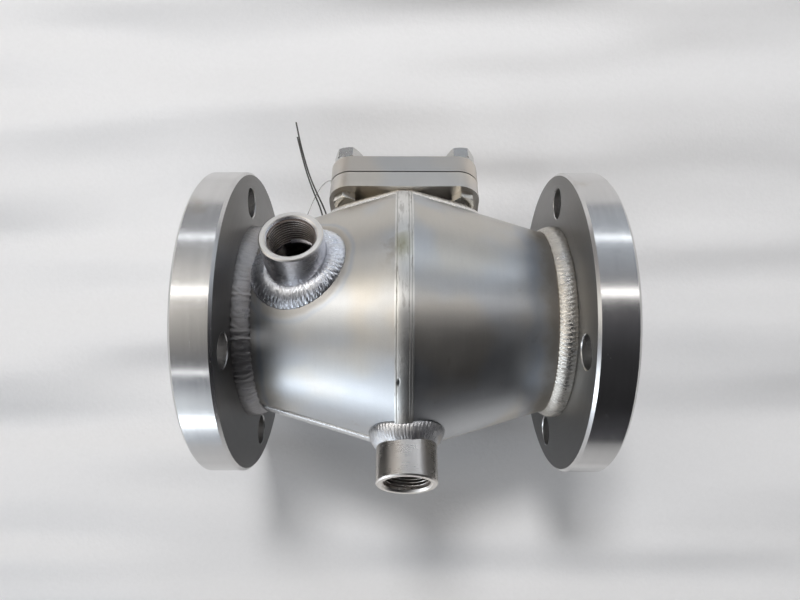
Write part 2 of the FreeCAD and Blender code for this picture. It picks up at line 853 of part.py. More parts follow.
def hinge_arm():
    """Hub on the pin, cranked shank and the eye that carries the disc's stud."""
    half_hub = arm_hub_length / 2
    half_width = arm_shank_width / 2
    hub = Part.makeCylinder(arm_hub_radius, arm_hub_length, V(0, -half_hub, 0), Y_AXIS)
    eye_centre = V(arm_front, 0, -pin_height)
    eye = Part.makeCylinder(arm_eye_radius, arm_thickness, eye_centre, X_AXIS)
    side_outline = [
        V(0, -half_width, arm_hub_radius - arm_shoulder_drop / 2),
        V(arm_back - arm_shoulder_drop, -half_width, arm_hub_radius / 2),
        V(arm_back, -half_width, -arm_shoulder_drop),
        V(arm_back, -half_width, -pin_height),
        V(arm_front, -half_width, -pin_height),
        V(arm_front, -half_width, -arm_hub_radius - arm_shoulder_drop),
        V(0, -half_width, -arm_hub_radius + arm_shoulder_drop / 2),
    ]
    shank = Part.Face(Part.makePolygon(side_outline + [side_outline[0]]))
    arm = hub.fuse(eye).fuse(shank.extrude(V(0, arm_shank_width, 0)))
    pin_bore = Part.makeCylinder(
        pin_radius + pin_running_clearance, arm_hub_length, V(0, -half_hub, 0), Y_AXIS
    )
    stud_bore = Part.makeCylinder(
        disc_stud_radius + eye_running_clearance, arm_thickness, eye_centre, X_AXIS
    )
    return seat_frame(arm.cut(pin_bore).cut(stud_bore).removeSplitter())


def stop_height():
    """Height of the stop web's lower edge, just over the arm's back at its open angle."""
    reach = mid_station - bracket_web_thickness / 2 - pin_centre.x
    droop = math.radians(90 - seat_tilt - open_angle)
    along = (reach - arm_back * math.sin(droop)) / math.cos(droop)
    rise = arm_back * math.cos(droop) - along * math.sin(droop)
    return pin_centre.z + rise + stop_clearance


def hinge_bracket():
    """Round plate with two ears for the pin and a web between them that stops the arm."""
    plate_bottom = cover_underside - contact_gap - bracket_plate_thickness
    plate = Part.makeCylinder(
        bracket_plate_radius, bracket_plate_thickness, V(mid_station, 0, plate_bottom), Z_AXIS
    )
    inner = arm_hub_length / 2 + bracket_side_play
    web_half = bracket_web_thickness / 2
    ear_outline = [
        V(pin_centre.x - arm_hub_radius, 0, pin_centre.z),
        V(pin_centre.x - arm_hub_radius, 0, plate_bottom),
        V(pin_centre.x + bracket_foot_reach, 0, plate_bottom),
        V(mid_station + web_half, 0, stop_height()),
        V(mid_station - web_half, 0, stop_height()),
        V(pin_centre.x + arm_hub_radius, 0, pin_centre.z),
    ]
    ear = Part.Face(Part.makePolygon(ear_outline + [ear_outline[0]]))
    ear = ear.extrude(V(0, bracket_ear_thickness, 0))
    knuckle_start = V(pin_centre.x, 0, pin_centre.z)
    ear = ear.fuse(
        Part.makeCylinder(arm_hub_radius, bracket_ear_thickness, knuckle_start, Y_AXIS)
    )
    far_ear = ear.copy()
    far_ear.translate(V(0, inner, 0))
    near_ear = ear.copy()
    near_ear.translate(V(0, -inner - bracket_ear_thickness, 0))
    web = Part.makeBox(
        bracket_web_thickness,
        2 * inner,
        plate_bottom - stop_height(),
        V(mid_station - web_half, -inner, stop_height()),
    )
    bracket = plate.fuse(far_ear).fuse(near_ear).fuse(web)
    bracket = bracket.cut(pin_bar(pin_radius + contact_gap))
    for place in bracket_screw_places():
        hole = Part.makeCylinder(
            bracket_screw_radius + bracket_screw_hole_clearance,
            bracket_plate_thickness,
            place + V(0, 0, plate_bottom),
            Z_AXIS,
        )
        bracket = bracket.cut(hole)
    return bracket.removeSplitter()


def bracket_screws():
    """Cap screws that hold the bracket to the cover, one solid each."""
    screws = []
    head_top = cover_underside - contact_gap - bracket_plate_thickness
    for place in bracket_screw_places():
        head = Part.makeCylinder(
            bracket_screw_head_radius,
            bracket_screw_head_height,
            place + V(0, 0, head_top - bracket_screw_head_height),
            Z_AXIS,
        )
        shank = Part.makeCylinder(
            bracket_screw_radius,
            bracket_plate_thickness + bracket_screw_grip,
            place + V(0, 0, head_top),
            Z_AXIS,
        )
        screws.append(head.fuse(shank))
    return Part.makeCompound(screws)


def pin_half_length():
    """Half the hinge pin's length, past both ears."""
    return arm_hub_length / 2 + bracket_side_play + bracket_ear_thickness + pin_overrun


def pin_bar(radius):
    """Round bar on the hinge axis, as long as the pin."""
    half = pin_half_length()
    return Part.makeCylinder(radius, 2 * half, pin_centre - Y_AXIS * half, Y_AXIS)


def hinge_pin():
    """Pin that the arm swings on."""
    return pin_bar(pin_radius)


def pin_clips():
    """Retaining rings at both ends of the pin, one solid each."""
    clips = []
    first = pin_half_length() - pin_overrun + bracket_side_play
    for side in (-1, 1):
        start = first if side > 0 else -first - clip_thickness
        base = pin_centre + Y_AXIS * start
        ring = Part.makeCylinder(clip_radius, clip_thickness, base, Y_AXIS)
        clips.append(ring.cut(pin_bar(pin_radius + contact_gap)))
    return Part.makeCompound(clips)


def wire(route, diameter, name):
    """Round wire along straight runs joined by tangent arcs, through points round the middle."""
    points = [V(*point) + V(mid_station, 0, 0) for point in route]
    edges = []
    radii = []
    start = points[0]
    for before, corner, after in zip(points, points[1:], points[2:]):
        back = before - corner
        ahead = after - corner
        tangent = bend_share * min(back.Length, ahead.Length)
        half_turn = (math.pi - back.getAngle(ahead)) / 2
        radius = tangent / math.tan(half_turn)
        radii.append(round(radius, 1))
        back.normalize()
        ahead.normalize()
        arc_start = corner + back * tangent
        arc_end = corner + ahead * tangent
        inward = back + ahead
        inward.normalize()
        arc_middle = corner + inward * (radius / math.cos(half_turn) - radius)
        edges.append(Part.LineSegment(start, arc_start).toShape())
        edges.append(Part.Arc(arc_start, arc_middle, arc_end).toShape())
        start = arc_end
    edges.append(Part.LineSegment(start, points[-1]).toShape())
    path = Part.Wire(edges)
    section = Part.Wire(Part.Circle(points[0], points[1] - points[0], diameter / 2).toShape())
    solid = path.makePipeShell([section], True, False)
    ideal = math.pi * diameter**2 / 4 * path.Length
    print(name, "length", round(path.Length, 1), "radii", radii)
    print(name, "volume over section times length", round(solid.Volume / ideal, 4))
    return solid


def build():
    """Every piece of the valve by its node name."""
    front_band, rear_band = girth_band()
    holes = jacket_cut_outs(jacket_hole_clearance)
    cone = inlet_cone()
    flange = inlet_flange()
    pipe_weld = inlet_pipe_weld()
    end_weld = flange_weld()
    return {
        "inlet_flange": flange,
        "outlet_flange": mirrored(flange),
        "inlet_pipe_weld": pipe_weld,
        "outlet_pipe_weld": mirrored(pipe_weld),
        "valve_body": valve_body(),
        "jacket_inlet_cone": cone.cut(holes),
        "jacket_outlet_cone": mirrored(cone).cut(holes),
        "jacket_girth_band_front": front_band,
        "jacket_girth_band_rear": rear_band,
        "inlet_flange_weld": end_weld,
        "outlet_flange_weld": mirrored(end_weld),
        "jacket_seam_weld": seam_weld(),
        "neck_saddle": saddle(),
        "neck_saddle_weld": saddle_weld(),
        "heating_port": port_coupling(HEATING_PORT, heating_port_mouth),
        "heating_port_weld": heating_port_weld(),
        "drain_port": port_coupling(DRAIN_PORT, drain_port_mouth),
        "drain_port_weld": drain_port_weld(),
        "bonnet_gasket": bonnet_gasket(),
        "bonnet_cover": bonnet_cover(),
        "bonnet_bolts": bonnet_bolts(),
        "bonnet_washers": bonnet_washers(),
        "bonnet_nuts": bonnet_nuts(),
        "hinge_bracket": hinge_bracket(),
        "bracket_screws": bracket_screws(),
        "hinge_pin": hinge_pin(),
        "pin_clips": pin_clips(),
        "hinge_arm": hinge_arm(),
        "seat_ring": seat_ring(),
        "disc": disc(),
        "disc_washer": disc_washer(),
        "disc_nut": disc_nut(),
        "disc_lock_pin": disc_lock_pin(),
        "tie_wire": wire(tie_wire_route, tie_wire_diameter, "tie_wire"),
        "loose_strand": wire(loose_strand_route, loose_strand_diameter, "loose_strand"),
    }


for node, shape in build().items():
    print(node, shape.isValid(), len(shape.Solids), round(shape.Volume, 1))
    shape.exportStep("parts/" + node + ".step")
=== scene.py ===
"""Looks of a jacketed non-return valve: its steel finishes, weld beads, threads, wires and studio."""
import logging
import math
from dataclasses import dataclass, field
from enum import Enum
from typing import Callable, Iterable, Union

import bmesh
import bpy
from mathutils import Matrix, Vector, noise


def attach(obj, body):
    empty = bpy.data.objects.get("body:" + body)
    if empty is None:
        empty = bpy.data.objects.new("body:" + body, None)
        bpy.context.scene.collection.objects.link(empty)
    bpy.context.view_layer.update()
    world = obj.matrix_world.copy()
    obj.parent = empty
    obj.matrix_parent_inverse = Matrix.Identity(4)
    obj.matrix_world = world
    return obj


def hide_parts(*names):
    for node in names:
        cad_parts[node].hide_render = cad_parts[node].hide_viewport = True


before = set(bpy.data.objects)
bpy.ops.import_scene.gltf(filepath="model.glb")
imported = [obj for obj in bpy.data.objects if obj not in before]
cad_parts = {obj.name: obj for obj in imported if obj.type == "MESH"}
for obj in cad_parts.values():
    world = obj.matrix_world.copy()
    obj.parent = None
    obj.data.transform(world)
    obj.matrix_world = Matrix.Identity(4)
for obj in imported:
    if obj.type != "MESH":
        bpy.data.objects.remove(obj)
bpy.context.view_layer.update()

MILLIMETRE = 0.001
MIDDLE = 0.12065  # station half way between the flange faces
LOG = logging.getLogger("valve")
BEAD_MAP = "along bead"
SMOOTH = 180.0  # degrees of turn that no edge has
MIX_SHARE, MIX_FIRST, MIX_SECOND, MIX_RESULT = 0, 6, 7, 2  # a Mix node's sockets for colours

Colour = tuple[float, float, float]
Number = Union["Signal", float]


class Slot(Enum):
    """Material slots of the part's record. The new pieces are not given them here."""

    WELD = "weld_metal"
    PORT = "port_coupling"
    FASTENER = "fastener"
    WIRE = "wire"


class Axis(Enum):
    """Axes that pieces are turned about."""

    FLOW = 0
    CROSSWAYS = 1
    UPRIGHT = 2


class Signal:
    """A number that varies over a surface. Arithmetic on it adds Math nodes."""

    def __init__(self, nodes: "NodeTree", socket: bpy.types.NodeSocket) -> None:
        """Wraps an output socket of a node tree."""
        self.nodes = nodes
        self.socket = socket

    def _math(self, operation: str, *values: Number) -> "Signal":
        """Adds one Math node.

        Args:
            operation: The Math node's operation.
            values: Its inputs in order.

        Returns:
            The node's result.
        """
        inputs = dict(enumerate(values))
        return self.nodes.signal("ShaderNodeMath", {"operation": operation}, inputs)

    def __add__(self, other: Number) -> "Signal":
        """Sum."""
        return self._math("ADD", self, other)

    __radd__ = __add__

    def __sub__(self, other: Number) -> "Signal":
        """Difference."""
        return self._math("SUBTRACT", self, other)

    def __rsub__(self, other: Number) -> "Signal":
        """Difference from a number."""
        return self._math("SUBTRACT", other, self)

    def __mul__(self, other: Number) -> "Signal":
        """Product."""
        return self._math("MULTIPLY", self, other)

    __rmul__ = __mul__

    def __truediv__(self, other: Number) -> "Signal":
        """Quotient."""
        return self._math("DIVIDE", self, other)

    def __abs__(self) -> "Signal":
        """Size without sign."""
        return self._math("ABSOLUTE", self)

    def root(self) -> "Signal":
        """Square root."""
        return self._math("SQRT", self)

    def wave(self) -> "Signal":
        """Sine."""
        return self._math("SINE", self)

    def angle_from(self, other: Number) -> "Signal":
        """Angle of the direction with this height and another reach, in radians."""
        return self._math("ARCTAN2", self, other)

    def least(self, other: Number) -> "Signal":
        """The smaller of two."""
        return self._math("MINIMUM", self, other)

    def most(self, other: Number) -> "Signal":
        """The larger of two."""
        return self._math("MAXIMUM", self, other)

    def rise(self, low: float, high: float) -> "Signal":
        """Goes smoothly from 0 at low to 1 at high.

        Args:
            low: Where the result is 0.
            high: Where it is 1, below low for a falling step.

        Returns:
            A share from 0 to 1.
        """
        settings = {"interpolation_type": "SMOOTHSTEP"}
        if low < high:
            return self.nodes.signal("ShaderNodeMapRange", settings, {0: self, 1: low, 2: high})
        values = {0: self, 1: high, 2: low, 3: 1.0, 4: 0.0}
        return self.nodes.signal("ShaderNodeMapRange", settings, values)

    def near(self, centre: float, reach: float) -> "Signal":
        """A smooth hump of height 1 at a value, down to 0 at a reach from it."""
        return abs(self - centre).rise(reach, 0.0)


@dataclass(frozen=True)
class Place:
    """Coordinates on a piece, in metres."""

    vector: bpy.types.NodeSocket
    x: Signal
    y: Signal
    z: Signal


class NodeTree:
    """Nodes of a material or of the world, each made by the same method."""

    def __init__(self, tree: bpy.types.NodeTree) -> None:
        """Wraps a node tree."""
        self.tree = tree

    def node(self, kind: str, settings: dict, inputs: dict) -> bpy.types.Node:
        """Adds a node.

        Args:
            kind: Its type.
            settings: Its properties, set before its sockets.
            inputs: Values, signals or sockets by input name or index.

        Returns:
            The node.
        """
        made = self.tree.nodes.new(kind)
        for name, value in settings.items():
            if name == "stops":
                self._set_stops(made.color_ramp, value)
            else:
                setattr(made, name, value)
        for key, value in inputs.items():
            self.feed(made.inputs[key], value)
        return made

    @staticmethod
    def _set_stops(ramp: bpy.types.ColorRamp, stops: Iterable[tuple[float, Colour]]) -> None:
        """Gives a colour ramp its stops, as (place, colour) pairs.

        Args:
            ramp: The node's ramp.
            stops: The stops in order.
        """
        for index, (place, colour) in enumerate(stops):
            if index < 2:
                element = ramp.elements[index]
                element.position = place
            else:
                element = ramp.elements.new(place)
            element.color = (*colour, 1.0)

    def feed(self, socket: bpy.types.NodeSocket, value: object) -> None:
        """Links a signal or socket to an input, or sets its value.

        Args:
            socket: The input.
            value: A signal, a socket, a colour or a number.
        """
        if isinstance(value, Signal):
            self.tree.links.new(value.socket, socket)
        elif isinstance(value, bpy.types.NodeSocket):
            self.tree.links.new(value, socket)
        elif socket.type == "RGBA":
            socket.default_value = (*value, 1.0)
        else:
            socket.default_value = value

    def signal(self, kind: str, settings: dict, inputs: dict, output: Union[int, str] = 0) -> Signal:
        """Adds a node and takes one of its outputs as a number."""
        return Signal(self, self.node(kind, settings, inputs).outputs[output])


class Shader(NodeTree):
    """Node tree of one material, with a Principled surface."""

    def __init__(self, name: str) -> None:
        """Starts an empty material with a name.

        Args:
            name: The material's name.
        """
        self.material = bpy.data.materials.new(name)
        self.material.use_nodes = True
        super().__init__(self.material.node_tree)
        self.tree.nodes.clear()
        self.surface = self.node("ShaderNodeBsdfPrincipled", {}, {})
        self.output = self.node("ShaderNodeOutputMaterial", {}, {0: self.surface.outputs[0]})

    def along_bead(self) -> tuple[Signal, Signal]:
        """Metres along a weld bead, and the share of the way round its section.

        Returns:
            The metres and the share.
        """
        vector = self.node("ShaderNodeUVMap", {"uv_map": BEAD_MAP}, {}).outputs[0]
        parts = self.node("ShaderNodeSeparateXYZ", {}, {0: vector})
        return Signal(self, parts.outputs[0]), Signal(self, parts.outputs[1])

    def place(self) -> Place:
        """Object coordinates, which are the valve's own.

        Returns:
            The coordinates, whole and one by one.
        """
        vector = self.node("ShaderNodeTexCoord", {}, {}).outputs["Object"]
        parts = self.node("ShaderNodeSeparateXYZ", {}, {0: vector})
        x, y, z = (Signal(self, output) for output in parts.outputs)
        return Place(vector, x, y, z)

    def joined(self, x: Number, y: Number, z: Number) -> bpy.types.NodeSocket:
        """A vector of three numbers."""
        return self.node("ShaderNodeCombineXYZ", {}, {0: x, 1: y, 2: z}).outputs[0]

    def noise(self, vector: bpy.types.NodeSocket, size: float, detail: float = 3.0,
              roughness: float = 0.55, fourth: Union[Number, None] = None) -> Signal:
        """Soft random pattern.

        Args:
            vector: Where it is read, in metres.
            size: The size of its patches, in metres.
            detail: How many finer layers it has.
            roughness: How strong those are.
            fourth: A fourth coordinate, already divided by size, if any.

        Returns:
            A number about 0.5, from 0 to 1.
        """
        settings = {"noise_dimensions": "3D" if fourth is None else "4D"}
        inputs = {"Vector": vector, "Scale": 1.0 / size, "Detail": detail, "Roughness": roughness}
        if fourth is not None:
            inputs["W"] = fourth
        return self.signal("ShaderNodeTexNoise", settings, inputs)

    def spots(self, vector: bpy.types.NodeSocket, size: float) -> Signal:
        """Distance to scattered points, in shares of their spacing."""
        return self.signal("ShaderNodeTexVoronoi", {}, {"Vector": vector, "Scale": 1.0 / size})

    def blend(self, share: Number, first: object, second: object) -> bpy.types.NodeSocket:
        """Mixes two colours by a share of the second.

        Args:
            share: The second colour's share.
            first: The first colour.
            second: The second.

        Returns:
            The mixed colour.
        """
        settings = {"data_type": "RGBA"}
        inputs = {MIX_SHARE: share, MIX_FIRST: first, MIX_SECOND: second}
        return self.node("ShaderNodeMix", settings, inputs).outputs[MIX_RESULT]

    def tinted(self, colour: object, factor: Number) -> bpy.types.NodeSocket:
        """A colour made darker or lighter by a factor.

        Args:
            colour: The colour.
            factor: What it is multiplied by.

        Returns:
            The new colour.
        """
        grey = self.joined(factor, factor, factor)
        settings = {"data_type": "RGBA", "blend_type": "MULTIPLY"}
        inputs = {MIX_SHARE: 1.0, MIX_FIRST: colour, MIX_SECOND: grey}
        return self.node("ShaderNodeMix", settings, inputs).outputs[MIX_RESULT]

    def relief(self, height: Signal, depth: float) -> bpy.types.NodeSocket:
        """Surface normal of a height from 0 to 1, depth metres high."""
        inputs = {"Height": height, "Distance": depth, "Strength": 1.0}
        return self.node("ShaderNodeBump", {}, inputs).outputs[0]

    def dress(self, **sockets: object) -> bpy.types.Material:
        """Sets the surface's sockets, spaces written as underscores.

        Args:
            sockets: Values, signals or sockets by socket name.

        Returns:
            The material.
        """
        for name, value in sockets.items():
            self.feed(self.surface.inputs[name.replace("_", " ")], value)
        return self.material


def lathe_lines(shader: Shader, place: Place, axis: Axis, centre: Vector, pitch: float,
                stretch: float) -> Signal:
    """Lines that a lathe leaves: round the axis on a rim, and in circles on a face.

    Args:
        shader: The material's shader.
        place: The piece's coordinates.
        axis: The axis that the piece was turned about.
        centre: A point on that axis.
        pitch: Spacing of the lines, in metres.
        stretch: How many degrees a line runs before it changes.

    Returns:
        A number about 0.5, from 0 to 1.
    """
    parts = [place.x - centre.x, place.y - centre.y, place.z - centre.z]
    along = parts.pop(axis.value)
    radius = (parts[0] * parts[0] + parts[1] * parts[1]).root()
    turns = 180.0 / (math.pi * stretch)
    cosine = parts[0] / radius * turns
    sine = parts[1] / radius * turns
    vector = shader.joined(along / pitch, radius / pitch, cosine)
    return shader.noise(vector, 1.0, 2.0, 0.6, sine)


@dataclass(frozen=True)
class TurnedSteel:
    """Stainless steel straight from the lathe."""

    name: str
    axis: Axis = Axis.FLOW
    centre: Vector = Vector((0.0, 0.0, 0.0))
    colour: Colour = (0.62, 0.61, 0.60)
    roughness: float = 0.20
    line_pitch: float = 0.00035
    line_run: float = 25.0
    broad_pitch: float = 0.00315
    broad_run: float = 60.0
    line_depth: float = 0.000010
    cloud_size: float = 0.035

    def lines(self, shader: Shader, place: Place) -> tuple[Signal, Signal]:
        """Fine and broad tool lines.

        Args:
            shader: The material's shader.
            place: The piece's coordinates.

        Returns:
            The fine and the broad pattern, each from 0 to 1.
        """
        fine = lathe_lines(shader, place, self.axis, self.centre, self.line_pitch, self.line_run)
        broad = lathe_lines(shader, place, self.axis, self.centre, self.broad_pitch, self.broad_run)
        return fine, broad

    def material(self) -> bpy.types.Material:
        """Builds the finish.

        Returns:
            The material.
        """
        shader = Shader(self.name)
        place = shader.place()
        fine, broad = self.lines(shader, place)
        cloud = shader.noise(place.vector, self.cloud_size)
        shade = 0.88 + 0.12 * fine + 0.12 * broad + 0.08 * (cloud - 0.5)
        rough = self.roughness + 0.14 * (fine - 0.5) + 0.12 * (cloud - 0.5)
        return shader.dress(
            Base_Color=shader.tinted(self.colour, shade),
            Metallic=1.0,
            Roughness=rough,
            Normal=shader.relief(0.7 * fine + 0.3 * broad, self.line_depth),
        )


@dataclass(frozen=True)
class CouplingSteel(TurnedSteel):
    """Turned coupling, whose faced-off mouth has a painted highlight: a lighter, warmer colour."""

    colour: Colour = (0.70, 0.69, 0.71)
    # Painted highlight colour of the mouth face.
    mouth: Colour = (0.80, 0.76, 0.71)
    roughness: float = 0.28
    face_depth: float = 0.0006
    cloud_size: float = 0.012

    def material(self) -> bpy.types.Material:
        """Builds the finish.

        Returns:
            The material.
        """
        shader = Shader(self.name)
        place = shader.place()
        fine, broad = self.lines(shader, place)
        cloud = shader.noise(place.vector, self.cloud_size, 4.0)
        along = (place.x, place.y, place.z)[self.axis.value] - self.centre[self.axis.value]
        at_mouth = abs(along).rise(self.face_depth, self.face_depth / 2)
        # Painted highlight: the mouth face takes the lighter, warmer colour.
        tone = shader.blend(at_mouth, self.colour, self.mouth)
        shade = 0.90 + 0.10 * fine + (0.06 + 0.30 * at_mouth) * (broad - 0.2) + 0.10 * (cloud - 0.5)
        return shader.dress(
            Base_Color=shader.tinted(tone, shade),
            Metallic=1.0,
            Roughness=self.roughness + 0.06 * (fine - 0.5) + 0.10 * (cloud - 0.5) + 0.10 * at_mouth,
            Normal=shader.relief(0.6 * fine + 0.1 * broad, self.line_depth),
        )


@dataclass(frozen=True)
class FlangeSteel(TurnedSteel):
    """Turned flange with drilled holes, a spiral on its raised face, a few handling marks, and painted shade
    on its back faces and in its holes.
    """

    name: str = "turned flange"
    hole_offset: float = 0.05388
    hole_radius: float = 0.009525
    raised_radius: float = 0.0635
    face_end: float = 0.2413
    back_inset: float = 0.0239
    # Painted shade colour for the back faces and the bolt holes.
    back_and_hole_shade: Colour = (0.20, 0.195, 0.19)
    spiral_pitch: float = 0.0008
    spiral_depth: float = 0.00005
    brown: Colour = (0.50, 0.46, 0.40)
    cloud_size: float = 0.028
    scratch_size: float = 0.004
    edge: float = 0.0004

    def material(self) -> bpy.types.Material:
        """Builds the finish.

        Returns:
            The material.
        """
        shader = Shader(self.name)
        place = shader.place()
        fine, broad = self.lines(shader, place)
        cloud = shader.noise(place.vector, self.cloud_size, 4.0)
        across = abs(place.y) - self.hole_offset
        upright = abs(place.z) - self.hole_offset
        from_hole = (across * across + upright * upright).root()
        drilled = from_hole.rise(self.hole_radius + self.edge, self.hole_radius)
        radius = (place.y * place.y + place.z * place.z).root()
        from_middle = abs(place.x - self.face_end / 2)
        at_face = from_middle.rise(self.face_end / 2 - self.edge, self.face_end / 2)
        raised = at_face * radius.rise(self.raised_radius + self.edge, self.raised_radius)
        groove = (radius * (2.0 * math.pi / self.spiral_pitch)).wave() * 0.5 + 0.5
        stretched = shader.joined(place.x * 9.0, place.y, place.z)
        scratch = shader.noise(stretched, self.scratch_size, 5.0, 0.75)
        dull = scratch.rise(0.62, 0.72) * 0.35
        stain = cloud.rise(0.60, 0.75) * 0.5
        half_gap = self.face_end / 2 - self.back_inset
        at_back = from_middle.rise(half_gap + self.edge / 2, half_gap) * (1.0 - drilled)
        tone = shader.blend(stain, self.colour, self.brown)
        # Painted shade: the back faces, which face the jacket, and the walls of the bolt holes are darkened.
        tone = shader.blend(at_back.most(0.3 * drilled), tone, self.back_and_hole_shade)
        shade = 0.86 + 0.14 * fine + 0.14 * broad + 0.10 * (cloud - 0.5) - 0.10 * dull
        rough = self.roughness + 0.14 * (fine - 0.5) + 0.14 * (cloud - 0.5) + 0.3 * dull
        rough = rough + 0.1 * drilled + 0.14 * at_back
        tool = (0.7 * fine + 0.3 * broad) * (1.0 - drilled) * (self.line_depth / self.spiral_depth)
        return shader.dress(
            Base_Color=shader.tinted(tone, shade),
            Metallic=1.0,
            Roughness=rough,
            Normal=shader.relief(tool + groove * raised, self.spiral_depth),
        )


@dataclass(frozen=True)
class BlastedSteel:
    """Stainless casting or part with the fine dull grain that bead blasting leaves."""

    name: str
    colour: Colour = (0.54, 0.54, 0.54)
    warm: Colour = (0.58, 0.55, 0.50)
    roughness: float = 0.36
    grain: float = 0.0006
    grain_depth: float = 0.00003
    patch_size: float = 0.022
    broad_size: float = 0.07
    pit_spacing: float = 0.006
    pits: float = 0.0

    def material(self) -> bpy.types.Material:
        """Builds the finish.

        Returns:
            The material.
        """
        shader = Shader(self.name)
        place = shader.place()
        fine = shader.noise(place.vector, self.grain, 2.0)
        patches = shader.noise(place.vector, self.patch_size, 4.0)
        broad = shader.noise(place.vector, self.broad_size, 2.0)
        tone = shader.blend(broad.rise(0.42, 0.62), self.colour, self.warm)
        spots = shader.spots(place.vector, self.pit_spacing).rise(0.20, 0.04)
        hollow = spots * patches.rise(0.50, 0.62) * self.pits
        shade = 0.90 + 0.10 * (fine - 0.5) + 0.20 * patches - 0.45 * hollow
        rough = self.roughness + 0.20 * (patches - 0.5) + 0.08 * (fine - 0.5) + 0.2 * hollow
        return shader.dress(
            Base_Color=shader.tinted(tone, shade),
            Metallic=1.0,
            Roughness=rough,
            Normal=shader.relief(fine - 4.0 * hollow, self.grain_depth),
        )


@dataclass(frozen=True)
class JacketSteel:
    """Rolled stainless sheet, satin, with heat colour beside the welds and a few stains."""

    name: str = "jacket sheet"
    colour: Colour = (0.55, 0.56, 0.57)
    warm: Colour = (0.60, 0.57, 0.52)
    brown: Colour = (0.34, 0.29, 0.23)
    blue: Colour = (0.36, 0.42, 0.52)
    port: tuple[float, float] = (0.060, -0.0035)
    collar_radius: float = 0.0282
    inlet_toe: float = 0.0335
    outlet_toe: float = 0.2085
    inlet_scorch: float = 0.006
    # The brown beside the outlet weld reaches wider than at the inlet: heat colour, widened with painted
    # shade where the cone mirrors the dark outlet flange.
    outlet_scorch_and_shade: float = 0.017
    port_scorch: float = 0.005
    rear_push: float = 0.05
    rear_depth: float = 0.02
    stain_place: tuple[float, float] = (-0.008, -0.006)
    stain_reach: tuple[float, float] = (0.012, 0.022)
    grain: float = 0.0005
    grain_depth: float = 0.000036
    cloud_size: float = 0.016
    broad_size: float = 0.06
    soot_size: float = 0.011
    roll_pitch: float = 0.0022
    roll_run: float = 14.0
    roughness: float = 0.38

    @staticmethod
    def _scorch(distance: Signal, width: float, edge: Signal) -> tuple[Signal, Signal]:
        """Brown and blue colour beside a weld: heat colour, and at the outlet also painted shade.

        Args:
            distance: Metres from the weld's toe.
            width: How far the colour spreads, in metres.
            edge: Uneven pattern that shifts it.

        Returns:
            Shares of brown and of blue.
        """
        shifted = distance / width + 0.9 * (edge - 0.5)
        return shifted.rise(0.75, 0.10), shifted.near(0.85, 0.45)

    def material(self) -> bpy.types.Material:
        """Builds the finish.

        Returns:
            The material.
        """
        shader = Shader(self.name)
        place = shader.place()
        fine = shader.noise(place.vector, self.grain, 2.0)
        cloud = shader.noise(place.vector, self.cloud_size, 5.0, 0.6)
        broad = shader.noise(place.vector, self.broad_size, 2.0)
        centre = Vector((0.0, 0.0, 0.0))
        rolled = lathe_lines(shader, place, Axis.FLOW, centre, self.roll_pitch, self.roll_run)
        inlet_brown, inlet_blue = self._scorch(place.x - self.inlet_toe, self.inlet_scorch, cloud)
        # Outlet brown: heat colour, with painted shade from the flange's reflection.
        outlet_brown, outlet_blue = self._scorch(self.outlet_toe - place.x, self.outlet_scorch_and_shade, cloud)
        along = place.x - self.port[0]
        upright = place.z - self.port[1]
        from_port = (along * along + upright * upright).root() - self.collar_radius
        # The rear of the jacket has no port, so its distance is pushed out of the heat colour's reach.
        from_port = from_port + self.rear_push * place.y.rise(-self.rear_depth, 0.0)
        port_brown, port_blue = self._scorch(from_port, self.port_scorch, cloud)
        brown = (0.4 * inlet_brown).most(outlet_brown).most(port_brown * 0.6)
        blue = inlet_blue.most(outlet_blue).most(port_blue)
        stain = (place.x - MIDDLE).near(self.stain_place[0], self.stain_reach[0])
        stain = stain * place.z.near(self.stain_place[1], self.stain_reach[1]) * cloud.rise(0.45, 0.60)
        soot = shader.noise(place.vector, self.soot_size, 3.0).rise(0.66, 0.78)
        tone = shader.blend(broad.rise(0.44, 0.60), self.colour, self.warm)
        tone = shader.blend((0.62 * brown + 0.5 * stain + 0.25 * soot).least(0.8), tone, self.brown)
        tone = shader.blend(0.35 * blue, tone, self.blue)
        shade = 0.90 + 0.14 * (fine - 0.5) + 0.12 * cloud + 0.07 * (rolled - 0.5)
        rough = self.roughness + 0.16 * (cloud - 0.5) + 0.05 * (rolled - 0.5)
        rough = rough + 0.12 * brown + 0.06 * (fine - 0.5)
        return shader.dress(
            Base_Color=shader.tinted(tone, shade),
            Metallic=1.0,
            Roughness=rough,
            Normal=shader.relief(fine + 0.5 * cloud, self.grain_depth),
        )


